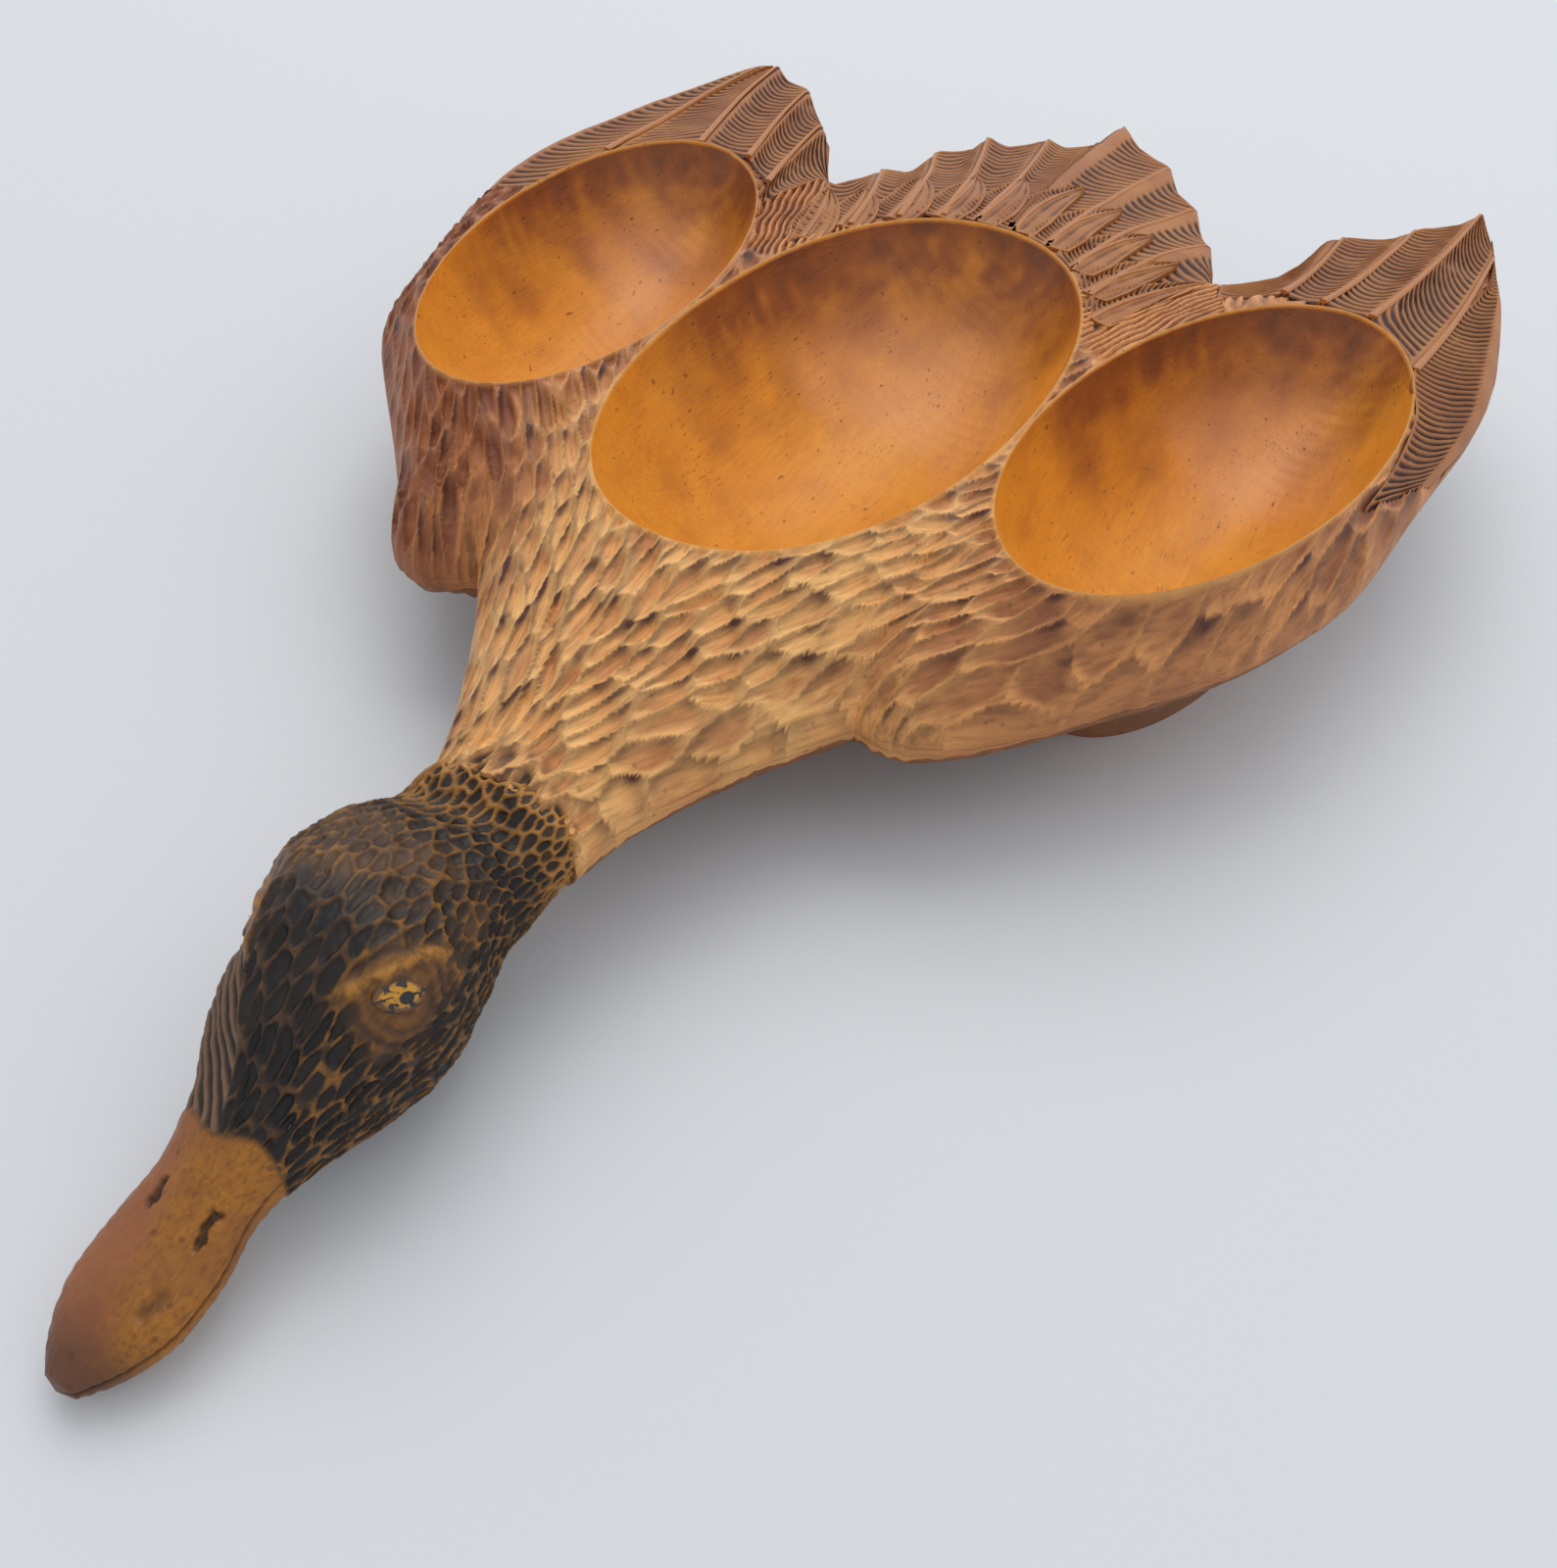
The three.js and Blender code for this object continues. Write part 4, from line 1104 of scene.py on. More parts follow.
def new_group(name, inputs, outputs):
    """An empty node group whose sockets all carry plain values."""
    tree = bpy.data.node_groups.new(name, "ShaderNodeTree")
    for label, value in inputs:
        tree.interface.new_socket(label, in_out="INPUT", socket_type="NodeSocketFloat").default_value = value
    for label in outputs:
        tree.interface.new_socket(label, in_out="OUTPUT", socket_type="NodeSocketFloat")
    n = Nodes(tree)
    return n, n.add("NodeGroupInput").outputs, n.add("NodeGroupOutput")


def make_groups():
    """The effects that several woods share: fibres and pores, scratches and dust."""
    n, given, out = new_group(
        "Wood fibres", [("Fineness", 900.0), ("Pore amount", 0.3)], ["Fibres", "Figure", "Pores"])
    place = n.place()
    fibres = n.noise(n.stretch(place, (1.0, 0.055, 1.0)), given["Fineness"], 4.0, 0.6)
    figure = n.noise(n.stretch(place, (1.0, 0.16, 0.6)), 38.0, 3.0, 0.5)
    dashes = n.noise(n.stretch(place, (1.0, 0.12, 1.0)), 1500.0, 1.0, 0.4)
    patch = n.span(n.noise(place, 60.0, 2.0), 0.45, 0.6)
    n.give(
        out, Fibres=n.span(fibres, 0.3, 0.7), Figure=n.span(n.math("SINE", n.times(figure, 46.0)), -1.0, 1.0),
        Pores=n.times(n.times(n.span(dashes, 0.66, 0.72), patch), given["Pore amount"]),
    )

    n, given, out = new_group("Handling wear", [("Scale", 700.0)], ["Scuffs", "Specks", "Clouds"])
    place = n.place()
    scuffs = n.noise(n.stretch(place, (1.0, 0.3, 0.7)), given["Scale"], 3.0, 0.7)
    dots = n.add("ShaderNodeTexVoronoi", {"Vector": place, "Scale": 190.0, "Randomness": 1.0})
    clouds = n.noise(place, 22.0, 3.0, 0.5)
    n.give(
        out, Scuffs=n.span(scuffs, 0.5, 0.72), Specks=n.span(dots.outputs["Distance"], 0.16, 0.08),
        Clouds=n.span(clouds, 0.35, 0.65),
    )


def new_material(name):
    """A material without nodes, and a helper to add them."""
    material = bpy.data.materials.new(name)
    material.use_nodes = True
    material.node_tree.nodes.clear()
    return material, Nodes(material.node_tree)


def new_wood(name, fineness, pores, wear_scale=700.0):
    """A material with the fibres and the wear that the woods share."""
    material, n = new_material(name)
    wood = n.group("Wood fibres", {"Fineness": fineness, "Pore amount": pores})
    return material, n, wood, n.group("Handling wear", {"Scale": wear_scale})


def finish_shader(material, n, colour, roughness, normal, **plain):
    """Gives a material its one shader."""
    values = {key.replace("_", " "): value for key, value in plain.items()}
    shader = n.add(
        "ShaderNodeBsdfPrincipled", {"Base Color": colour, "Roughness": roughness, "Normal": normal, **values})
    n.add("ShaderNodeOutputMaterial", {"Surface": shader.outputs["BSDF"]})
    return material


def bowl_wood(colours):
    material, n, wood, wear = new_wood("Oiled bowl wood", 1100.0, 1.0, 500.0)
    place = n.place()
    colour = n.mix(n.times(wood["Figure"], 0.5), tuple(colours.bowl), tuple(colours.bowl_dark))
    patches = n.noise(n.stretch(place, (1.0, 0.5, 1.0)), 95.0, 4.0, 0.62)
    # Painted darkening below the far rim, part stain and part painted shade, broken up in patches
    smoke = n.plus(n.painted("smoke"), n.span(patches, 0.35, 0.65, -0.12, 0.12))
    pits = n.span(n.noise(n.stretch(place, (1.0, 0.45, 1.0)), 520.0, 1.0, 0.4), 0.74, 0.78)
    # One of these layers is a painted reflection: a paler, pinker patch halfway up the far wall.
    colour = n.tint(
        colour, (wood["Fibres"], 0.3, (168, 92, 22)), (wear["Clouds"], 0.25, (236, 168, 66)),
        (n.span(smoke, 0.0, 0.75), 0.9, (134, 68, 24)), (n.span(smoke, 0.78, 1.05), 0.6, (66, 36, 20)),
        (n.painted("sheen"), 0.32, (226, 160, 122)), (wood["Pores"], 0.55, (84, 44, 18)),
        (pits, 0.6, (84, 44, 20)),
    )
    arcs = n.add("ShaderNodeTexWave", {
        "Vector": n.stretch(place, (0.5, 1.0, 0.4)), "Scale": 110.0, "Distortion": 3.0, "Detail": 2.0,
        "Detail Scale": 0.7,
    }, bands_direction="DIAGONAL")
    marks = n.times(arcs.outputs["Fac"], n.span(n.noise(place, 26.0, 2.0), 0.45, 0.62))
    height = n.math("SUBTRACT", n.plus(n.times(marks, 0.7), n.times(wood["Fibres"], 0.35)), pits)
    rough = n.span(wear["Clouds"], 0.0, 1.0, 0.36, 0.46)
    return finish_shader(material, n, colour, rough, n.bump(height, 0.0004, 0.5), Coat_Weight=0.14,
                         Coat_Roughness=0.3, Specular_IOR_Level=0.3)


def carved_wood(colours):
    material, n, wood, wear = new_wood("Gouged wood", 1300.0, 0.6, 900.0)
    groove, tone, breast = n.painted("groove"), n.painted("tone"), n.painted("breast")
    light = n.mix(breast, tuple(colours.ridge), shade(255, 196, 122))
    light = n.mix(n.painted("redder"), light, shade(190, 114, 62))
    dark = n.mix(breast, tuple(colours.recess), shade(220, 140, 80))
    # Cuts are painted darker towards their bottoms, partly the stain in them and partly painted shade
    deep = n.plus(n.plus(n.times(groove, 0.66), n.times(tone, 0.34)), n.times(wear["Clouds"], 0.3))
    deep = n.math("SUBTRACT", deep, n.span(breast, 0.0, 1.0, 0.26, 0.5), clamp=True)
    plum = n.times(n.times(groove, n.span(tone, 0.72, 0.92)), n.span(breast, 0.0, 1.0, 0.4, 0.15))
    colour = n.mix(plum, n.mix(deep, light, dark), shade(112, 74, 64))
    turned = n.add("ShaderNodeVectorRotate", {"Vector": n.place(), "Angle": n.painted("turn")},
                   rotation_type="Z_AXIS").outputs[0]
    streaks = n.noise(n.stretch(turned, (1.0, 0.06, 0.3)), 1500.0, 2.0, 0.5)
    colour = n.mix(n.span(streaks, 0.45, 0.72, 0.0, 0.42), colour, shade(112, 64, 32))
    blotch = n.noise(n.stretch(turned, (1.0, 0.4, 1.0)), 85.0, 3.0, 0.6)
    blotch = n.times(n.span(blotch, 0.48, 0.66), n.span(groove, 0.1, 0.7, 0.2, 0.75))
    colour = n.mix(blotch, colour, n.mix(breast, shade(132, 76, 52), shade(170, 102, 64)))
    # Painted shadow along one side and at the deep end of each cut, stronger in some patches than in others
    shadow_share = n.span(n.noise(n.place(), 55.0, 3.0, 0.6), 0.3, 0.6, 0.25, 0.85)
    colour = n.tint(
        colour, (n.painted("shadow"), shadow_share, (78, 38, 26)), (wood["Fibres"], 0.14, (96, 56, 34)),
        (n.painted("rim"), 0.6, (222, 164, 88)), (wear["Specks"], 0.3, (58, 36, 26)),
        (n.painted("stain"), 0.95, (38, 32, 30)),
    )
    height = n.plus(n.times(streaks, 0.9), n.times(wear["Scuffs"], 0.4))
    rough = n.span(groove, 0.0, 1.0, 0.45, 0.62)
    return finish_shader(material, n, colour, rough, n.bump(height, 0.0004, 0.5), Specular_IOR_Level=0.32)


def feather_wood(colours):
    material, n, wood, wear = new_wood("Feathered wood", 1300.0, 0.5, 900.0)
    groove, tone = n.painted("groove"), n.painted("tone")
    light = n.mix(tone, shade(188, 124, 58), shade(166, 98, 46))
    light = n.tint(light, (n.painted("hollow"), n.span(wear["Clouds"], 0.0, 1.0, 0.1, 0.5), (150, 92, 52)))
    # Barb grooves are painted dark, partly the wood's stain and partly painted shade in the grooves
    dark = n.mix(wear["Clouds"], shade(66, 32, 14), shade(46, 26, 20))
    # Raised shafts are painted paler and pinker, as a painted highlight
    colour = n.tint(
        n.mix(n.span(groove, 0.15, 0.6), light, dark), (n.painted("ridge"), 0.6, (208, 144, 92)),
        (wood["Fibres"], 0.2, (96, 56, 34)), (wear["Specks"], 0.25, (52, 34, 26)),
    )
    height = n.plus(n.times(wood["Fibres"], 0.5), n.times(wear["Scuffs"], 0.4))
    rough = n.span(groove, 0.0, 1.0, 0.45, 0.65)
    return finish_shader(material, n, colour, rough, n.bump(height, 0.00025, 0.45), Specular_IOR_Level=0.3)


def underside_wood(colours):
    material, n, wood, wear = new_wood("Plain underside wood", 700.0, 1.0, 420.0)
    colour = n.tint(
        n.mix(wood["Figure"], tuple(colours.underside), shade(134, 82, 44)),
        (wood["Fibres"], 0.35, (98, 58, 32)), (wear["Scuffs"], 0.4, (178, 122, 72)),
        (wood["Pores"], 0.6, (66, 38, 22)), (n.painted("stain"), 0.95, (38, 32, 30)),
    )
    height = n.plus(wood["Fibres"], n.times(wear["Scuffs"], 0.5))
    rough = n.span(wear["Clouds"], 0.0, 1.0, 0.5, 0.64)
    return finish_shader(material, n, colour, rough, n.bump(height, 0.0003, 0.4), Specular_IOR_Level=0.4)


def head_wood(colours):
    material, n, wood, wear = new_wood("Stained head wood", 1200.0, 0.6, 800.0)
    ridge, tone = n.painted("ridge"), n.painted("tone")
    place = n.place()
    broken = n.span(n.noise(place, 330.0, 3.0, 0.6), 0.4, 0.62, 0.15, 1.0)
    rubbed = n.times(n.span(ridge, 0.35, 0.95), broken)
    rubbed = n.times(rubbed, n.span(n.painted("black"), 0.0, 1.0, 1.0, 0.3))
    faded = n.span(n.noise(place, 75.0, 3.0, 0.6), 0.4, 0.6, 0.1, 0.75)
    black = n.mix(tone, tuple(colours.stain), shade(38, 29, 26))
    black = n.tint(black, (n.painted("olive"), faded, (98, 70, 46)))
    colour = n.mix(n.times(rubbed, 0.85), black, tuple(colours.rubbed))
    colour = n.tint(colour, (n.painted("skin"), 0.7, (116, 76, 38)))
    gold = n.mix(n.span(ridge, 0.0, 0.5), shade(54, 38, 28), shade(180, 126, 62))
    colour = n.mix(n.painted("golden"), colour, gold)
    grey = n.mix(n.span(ridge, 0.2, 0.8), shade(46, 36, 32), shade(124, 94, 72))
    colour = n.mix(n.painted("grey"), colour, grey)
    colour = n.tint(colour, (n.times(n.painted("brow"), broken), 0.8, (180, 124, 48)))
    # The bill's ochre, with its hairs, darker clouds, redder side and worn tip
    spots = n.span(n.noise(place, 420.0, 4.0, 0.7), 0.4, 0.66, 0.0, 0.5)
    hairs = n.span(n.noise(n.stretch(place, (1.0, 0.4, 1.0)), 1100.0, 3.0, 0.6), 0.45, 0.7, 0.0, 0.7)
    dusk = n.span(n.noise(place, 60.0, 3.0, 0.6), 0.42, 0.62, 0.0, 0.45)
    ochre = n.tint(
        tuple(colours.bill), (spots, 1.0, (150, 92, 34)), (hairs, 1.0, (112, 68, 30)),
        (n.painted("redder"), 0.85, (146, 88, 56)), (dusk, 1.0, (118, 70, 42)),
        (n.painted("tip"), 0.75, (82, 52, 36)), (wear["Specks"], 0.5, (66, 44, 24)),
    )
    # Nostrils, the bill line and the dent are painted dark, as painted shade in these hollows
    colour = n.tint(n.mix(n.painted("bill"), colour, ochre), (n.painted("hole"), 0.85, (44, 28, 18)))
    height = n.plus(n.times(wood["Fibres"], 0.4), n.times(wear["Scuffs"], 0.6))
    rough = n.span(rubbed, 0.0, 1.0, 0.42, 0.5)
    return finish_shader(material, n, colour, rough, n.bump(height, 0.0003, 0.5), Specular_IOR_Level=0.3)


def eye_paint(colours):
    material, n = new_material("Painted eye")
    long_way, short_way = n.painted("eye_long"), n.painted("eye_short")
    scuffs = n.group("Handling wear", {"Scale": 1500.0})["Scuffs"]

    def reach(u, v, half_u, half_v):
        du = n.math("DIVIDE", n.math("SUBTRACT", long_way, u), half_u)
        dv = n.math("DIVIDE", n.math("SUBTRACT", short_way, v), half_v)
        return n.plus(n.times(du, du), n.times(dv, dv))

    uneven = n.span(n.noise(n.place(), 420.0, 3.0, 0.6), 0.3, 0.7, -0.3, 0.3)
    turn = n.math("ARCTAN2", n.times(short_way, 1.6), long_way)
    strokes = n.math("SINE", n.plus(n.times(turn, 6.0), n.times(uneven, 9.0)))
    out = n.plus(reach(0.0, 0.0, 5.2, 3.0), uneven)
    yellow = n.mix(scuffs, tuple(colours.eye), shade(160, 104, 30))
    colour = n.mix(n.span(out, 0.45, 0.8), yellow, shade(104, 66, 30))
    colour = n.mix(n.times(n.span(strokes, 0.35, 0.7), n.span(out, 0.12, 0.3)), colour, shade(28, 24, 24))
    colour = n.mix(n.span(reach(1.1, -0.3, 1.6, 1.35), 1.15, 0.8), colour, shade(14, 17, 25))
    return finish_shader(material, n, colour, 0.34, n.bump(scuffs, 0.0001, 0.4), Coat_Weight=0.12,
                         Coat_Roughness=0.2)


def dowel_wood(colours):
    material, n, wood, _ = new_wood("Dowel wood", 1500.0, 0.6)
    fibres = wood["Fibres"]
    colour = n.mix(fibres, tuple(colours.dowel), shade(186, 140, 86))
    colour = n.tint(colour, (wood["Pores"], 0.5, (110, 74, 40)))
    return finish_shader(material, n, colour, n.span(fibres, 0.0, 1.0, 0.55, 0.7), n.bump(fibres, 0.0002, 0.5))


# Settings and operators

class DUCKTRAY_PG_carving(bpy.types.PropertyGroup):
    """Sizes of the carved marks"""

    gouge_depth: bpy.props.FloatProperty(
        name="Gouge depth", description="Depth of the cuts on the breast and wings",
        default=0.0019, unit="LENGTH")
    barb_spacing: bpy.props.FloatProperty(
        name="Barb spacing", description="Distance between neighbouring barb grooves",
        default=0.005, unit="LENGTH")
    barb_depth: bpy.props.FloatProperty(
        name="Barb depth", description="Depth of the barb grooves", default=0.0011, unit="LENGTH")
    vane_thickness: bpy.props.FloatProperty(
        name="Vane thickness", description="Thickness of the carved feathers", default=0.003, unit="LENGTH")
    bowl_ripple: bpy.props.FloatProperty(
        name="Bowl ripple", description="Height of the waves left by the bowl gouge",
        default=0.00025, unit="LENGTH")
    scale_depth: bpy.props.FloatProperty(
        name="Scale depth", description="Depth of the small cuts on the head", default=0.0009, unit="LENGTH")


class DUCKTRAY_PG_colours(bpy.types.PropertyGroup):
    """Colours of the woods, stains and paints"""

    bowl: bpy.props.FloatVectorProperty(
        name="Bowl", description="Oiled wood in the bowls", default=shade(234, 154, 36), subtype="COLOR")
    bowl_dark: bpy.props.FloatVectorProperty(
        name="Bowl figure", description="Darker growth rings in the bowls",
        default=shade(220, 136, 30), subtype="COLOR")
    ridge: bpy.props.FloatVectorProperty(
        name="Ridges", description="Edges between the gouge cuts", default=shade(236, 162, 96), subtype="COLOR")
    # The recess colour is partly the stain in the cuts and partly painted shade.
    recess: bpy.props.FloatVectorProperty(
        name="Recesses", description="Stained bottoms of the gouge cuts",
        default=shade(130, 74, 52), subtype="COLOR")
    underside: bpy.props.FloatVectorProperty(
        name="Underside", description="Wood of the sides and underside",
        default=shade(150, 94, 52), subtype="COLOR")
    stain: bpy.props.FloatVectorProperty(
        name="Head stain", description="Dark stain of the head", default=shade(16, 13, 12), subtype="COLOR")
    rubbed: bpy.props.FloatVectorProperty(
        name="Rubbed edges", description="Edges of the head's cuts where the stain is rubbed off",
        default=shade(150, 102, 42), subtype="COLOR")
    bill: bpy.props.FloatVectorProperty(
        name="Bill", description="Ochre of the bill", default=shade(168, 110, 38), subtype="COLOR")
    eye: bpy.props.FloatVectorProperty(
        name="Eye", description="Yellow ring of the eye", default=shade(206, 146, 34), subtype="COLOR")
    dowel: bpy.props.FloatVectorProperty(
        name="Dowel", description="Bare wood of the dowels", default=shade(206, 164, 108), subtype="COLOR")
    floor: bpy.props.FloatVectorProperty(
        name="Floor", description="Pale floor under the tray", default=shade(222, 226, 232), subtype="COLOR")


class DUCKTRAY_PG_light(bpy.types.PropertyGroup):
    """Strength of the studio light"""

    key: bpy.props.FloatProperty(
        name="Key light", description="Strength of the soft light behind the tail", default=48.0, unit="POWER")
    fill: bpy.props.FloatProperty(
        name="Fill light", description="Strength of the wide light overhead", default=3.0, unit="POWER")
    room: bpy.props.FloatProperty(
        name="Room light", description="Brightness of the room all round", default=0.6)


def settle(piece, slot, *nodes):
    """Hands a finished piece to the frame, under the body it rides on, and hides the nodes it stands for; its
    finish, slot, is not used.
    """
    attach(piece, "root")
    if nodes:
        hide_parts(*nodes)


def block_materials(colours):
    """The four finishes of a carved block, in the order of BOWL, CARVED, FEATHERED and UNDERSIDE."""
    made = {m.name: m for m in bpy.data.materials}
    return [made.get(name) or maker(colours) for name, maker in (
        ("Oiled bowl wood", bowl_wood), ("Gouged wood", carved_wood), ("Feathered wood", feather_wood),
        ("Plain underside wood", underside_wood),
    )]


def finish_block(context, surface, bowl, covered, pitch, name, node):
    """Carves a block under its feathers and hands it to the frame."""
    carved_block(surface, bowl, covered, pitch)
    settle(surface.make(name, block_materials(context.scene.duck_colours), SHARP_ANGLE), "carved_wood", node)
    return {"FINISHED"}


def carve_wing(context, name, node, bowl, loop, shafts, lead, **style):
    """A wing: its row of feathers, the vane along its leading edge, and its block with a bowl."""
    surface = Surface(loop, WING_EDGE_TOP, context.scene.duck_carving)
    covered = feather_row(surface, shafts, **WING_STYLE)
    outer, inner = (spline(line, 2) for line in lead)
    covered.append(vane(surface, outer, inner, curve=(0.35, 0.9), columns=30, **style))
    return finish_block(context, surface, bowl, covered, WING_PITCH, name, node)


class DUCKTRAY_OT_body(bpy.types.Operator):
    """Carve the neck, breast, centre bowl and tail fan"""

    bl_idname = "duck_tray.body"
    bl_label = "Body and tail"

    def execute(self, context):
        loop = join_lines(
            spline(RIGHT_FLANK, SEAM_STEP), straight(RIGHT_SEAM, SEAM_STEP), straight(TAIL_FEATHERS, TIP_STEP),
            straight(LEFT_SEAM, SEAM_STEP)[::-1], spline(LEFT_FLANK, SEAM_STEP),
            straight([LEFT_FLANK[-1], RIGHT_FLANK[0]], SEAM_STEP),
        )
        surface = Surface(loop, TAIL_EDGE_TOP, context.scene.duck_carving)
        covered = feather_row(surface, TAIL_RIGHT_SHAFTS, **TAIL_RIGHT_STYLE)
        covered += feather_row(surface, TAIL_LEFT_SHAFTS, **TAIL_LEFT_STYLE)
        for feather in TAIL_COVERTS:
            covert(surface, *feather)
        return finish_block(context, surface, CENTRE_BOWL, covered, BODY_PITCH, "carved_body", "body_block")


class DUCKTRAY_OT_right_wing(bpy.types.Operator):
    """Carve the wing on the +X side with its bowl and feathers"""

    bl_idname = "duck_tray.right_wing"
    bl_label = "Right wing"

    def execute(self, context):
        loop = join_lines(
            spline(RIGHT_WING_EDGE, WING_EDGE_STEP), straight(RIGHT_WING_FEATHERS, TIP_STEP),
            straight(RIGHT_SEAM, SEAM_STEP)[::-1],
        )
        return carve_wing(context, "carved_right_wing", "right_wing", RIGHT_BOWL, loop, RIGHT_WING_SHAFTS,
                          RIGHT_WING_LEAD, barbs=(0.2, 0.97), spacing=0.78)


class DUCKTRAY_OT_left_wing(bpy.types.Operator):
    """Carve the wing on the -X side with its bowl and feathers"""

    bl_idname = "duck_tray.left_wing"
    bl_label = "Left wing"

    def execute(self, context):
        loop = join_lines(
            straight(LEFT_WING_FEATHERS, TIP_STEP), spline(LEFT_WING_EDGE, WING_EDGE_STEP),
            straight(LEFT_SEAM, SEAM_STEP),
        )
        return carve_wing(context, "carved_left_wing", "left_wing", LEFT_BOWL, loop, LEFT_WING_SHAFTS,
                          LEFT_WING_LEAD, barbs=(0.18, 0.97), spacing=1.05)


class DUCKTRAY_OT_head(bpy.types.Operator):
    """Carve the stained head and the bill"""

    bl_idname = "duck_tray.head"
    bl_label = "Head and bill"

    def execute(self, context):
        surface = Surface()
        build_head(surface, context.scene.duck_carving)
        piece = surface.make("carved_head", [head_wood(context.scene.duck_colours)])
        settle(piece, "stained_wood", "head_block")
        return {"FINISHED"}


class DUCKTRAY_OT_eyes(bpy.types.Operator):
    """Set the two carved and painted eyes into the head"""

    bl_idname = "duck_tray.eyes"
    bl_label = "Eyes"

    def execute(self, context):
        paint = eye_paint(context.scene.duck_colours)
        for name, side in (("right_eye", 1), ("left_eye", -1)):
            surface = Surface()
            build_eye(surface, side)
            settle(surface.make(name, [paint]), "stained_wood")
        return {"FINISHED"}


class DUCKTRAY_OT_dowels(bpy.types.Operator):
    """Give the two neck dowels their bare wood"""

    bl_idname = "duck_tray.dowels"
    bl_label = "Dowels"

    def execute(self, context):
        wood = dowel_wood(context.scene.duck_colours)
        for name in ("left_dowel", "right_dowel"):
            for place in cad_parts[name].material_slots:
                place.material = wood
        return {"FINISHED"}


def soft_lamp(name, power, size, position, colour):
    """A square lamp, its size in metres, turned towards the tray."""
    lamp = bpy.data.lights.new(name, "AREA")
    lamp.shape = "SQUARE"
    lamp.size = size
    lamp.energy = power
    lamp.color = colour
    holder = bpy.data.objects.new(name, lamp)
    holder.location = position
    holder.rotation_euler = (Vector(LOOK_AT) - Vector(position)).to_track_quat("-Z", "Y").to_euler()
    bpy.context.scene.collection.objects.link(holder)


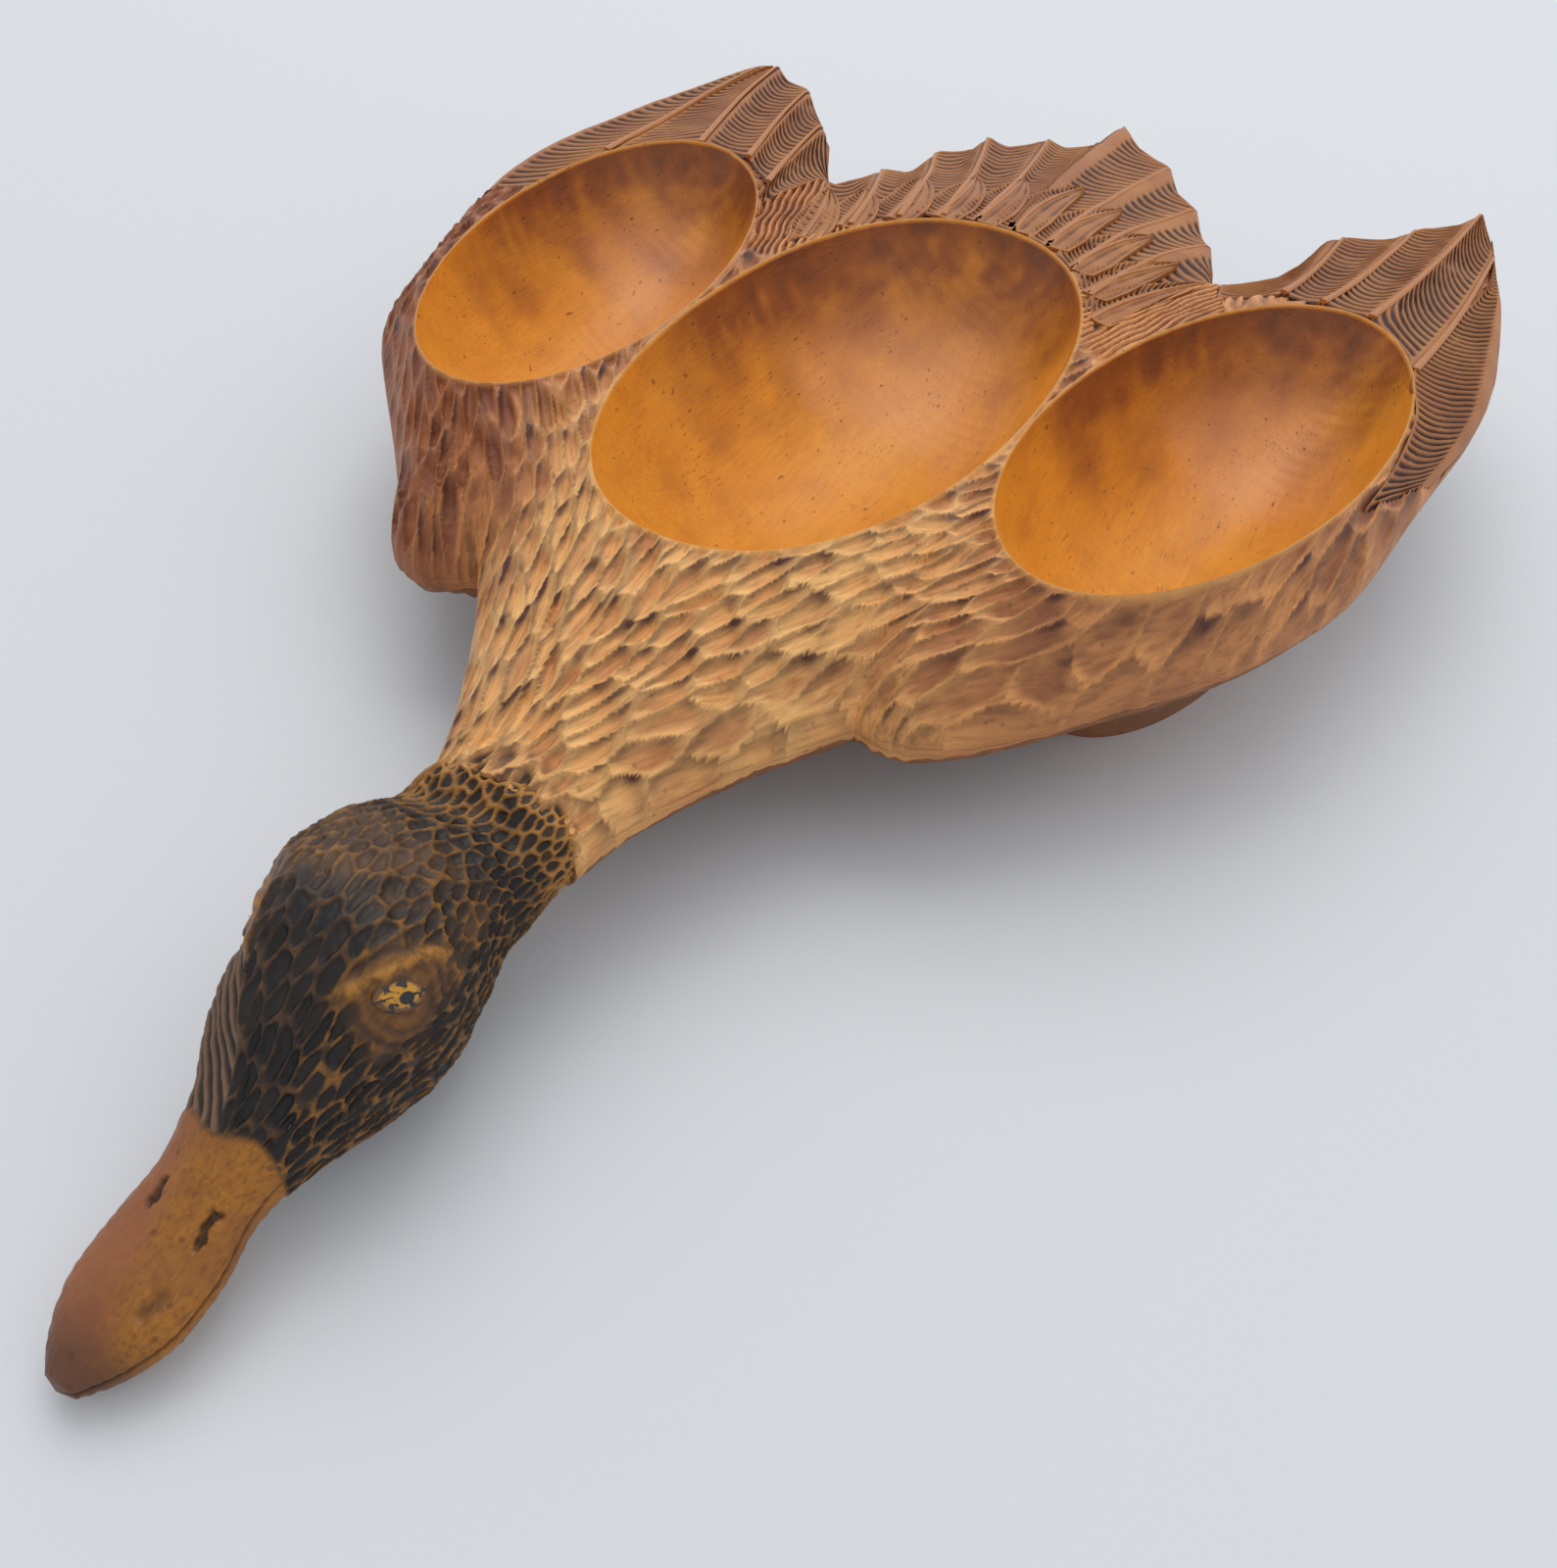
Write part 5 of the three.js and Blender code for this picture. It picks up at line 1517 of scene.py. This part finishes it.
class DUCKTRAY_OT_stage(bpy.types.Operator):
    """Lay the pale floor and set the studio light and the camera"""

    bl_idname = "duck_tray.stage"
    bl_label = "Floor, light and camera"

    def execute(self, context):
        scene = context.scene
        colours, light = scene.duck_colours, scene.duck_light
        mesh = bpy.data.meshes.new("floor")
        corners = [(x * FLOOR_HALF, y * FLOOR_HALF, 0) for x, y in ((-1, -1), (1, -1), (1, 1), (-1, 1))]
        mesh.from_pydata(corners, [], [(0, 1, 2, 3)])
        floor = bpy.data.objects.new("floor", mesh)
        scene.collection.objects.link(floor)
        material, n = new_material("Pale floor")
        colour = n.tint(tuple(colours.floor), (n.noise(n.place(), 3.0, 2.0), 0.1, (214, 220, 228)))
        grain = n.bump(n.noise(n.place(), 900.0, 2.0), 0.0001, 0.2)
        mesh.materials.append(finish_shader(material, n, colour, 0.75, grain, Specular_IOR_Level=0.2))

        world = bpy.data.worlds.new("Room")
        scene.world = world
        world.use_nodes = True
        world.node_tree.nodes.clear()
        n = Nodes(world.node_tree)
        room = n.add("ShaderNodeBackground", {"Color": (1.0, 1.0, 1.0), "Strength": light.room})
        seen = n.add("ShaderNodeBackground", {"Color": (0.86, 0.88, 0.92), "Strength": 1.0})
        path = n.add("ShaderNodeLightPath").outputs
        shown = n.plus(path["Is Camera Ray"], path["Is Glossy Ray"])
        shown = n.math("ADD", shown, path["Is Transmission Ray"], clamp=True)
        mixed = n.add("ShaderNodeMixShader", {0: shown, 1: room.outputs[0], 2: seen.outputs[0]})
        n.add("ShaderNodeOutputWorld", {"Surface": mixed.outputs[0]})
        soft_lamp("key_light", light.key, 2.8, (-0.7, 1.5, 3.1), (1.0, 0.99, 0.97))
        soft_lamp("fill_light", light.fill, 1.4, (0.9, 0.2, 1.5), (0.95, 0.97, 1.0))

        scene.view_settings.view_transform = "Standard"
        azimuth, elevation, roll = (math.radians(angle) for angle in CAMERA_ANGLES)
        back = Vector((math.sin(azimuth) * math.cos(elevation), -math.cos(azimuth) * math.cos(elevation),
                       math.sin(elevation)))
        right = (-back).cross(Vector((0, 0, 1))).normalized()
        up = right.cross(-back)
        across = math.cos(roll) * right + math.sin(roll) * up
        upward = -math.sin(roll) * right + math.cos(roll) * up
        data = bpy.data.cameras.new("camera")
        data.sensor_fit = "VERTICAL"
        data.sensor_height = 36.0
        data.lens = CAMERA_LENS
        data.clip_start = 0.01
        camera = bpy.data.objects.new("camera", data)
        camera.matrix_world = Matrix.Translation(CAMERA_PLACE) @ Matrix(
            [(across[k], upward[k], back[k]) for k in range(3)]).to_4x4()
        scene.collection.objects.link(camera)
        scene.camera = camera
        return {"FINISHED"}


STEPS = (DUCKTRAY_OT_body, DUCKTRAY_OT_right_wing, DUCKTRAY_OT_left_wing, DUCKTRAY_OT_head, DUCKTRAY_OT_eyes,
         DUCKTRAY_OT_dowels, DUCKTRAY_OT_stage)


class DUCKTRAY_PT_panel(bpy.types.Panel):
    """Lists the steps that make the tray and the values they use"""

    bl_idname = "DUCKTRAY_PT_panel"
    bl_label = "Carved duck tray"
    bl_space_type = "VIEW_3D"
    bl_region_type = "UI"
    bl_category = "Duck tray"

    def draw(self, context):
        for step in STEPS:
            self.layout.operator(step.bl_idname)
        for group in (context.scene.duck_carving, context.scene.duck_colours, context.scene.duck_light):
            for name in group.__annotations__:
                self.layout.prop(group, name)


CLASSES = (DUCKTRAY_PG_carving, DUCKTRAY_PG_colours, DUCKTRAY_PG_light, *STEPS, DUCKTRAY_PT_panel)
GROUPS = {
    "duck_carving": DUCKTRAY_PG_carving, "duck_colours": DUCKTRAY_PG_colours, "duck_light": DUCKTRAY_PG_light,
}


def register():
    for made in CLASSES:
        bpy.utils.register_class(made)
    for name, group in GROUPS.items():
        setattr(bpy.types.Scene, name, bpy.props.PointerProperty(type=group))


def unregister():
    for name in GROUPS:
        delattr(bpy.types.Scene, name)
    for made in reversed(CLASSES):
        bpy.utils.unregister_class(made)


def main():
    register()
    for step in STEPS:
        group, name = step.bl_idname.split(".")
        getattr(getattr(bpy.ops, group), name)()


if __name__ == "__main__":
    main()
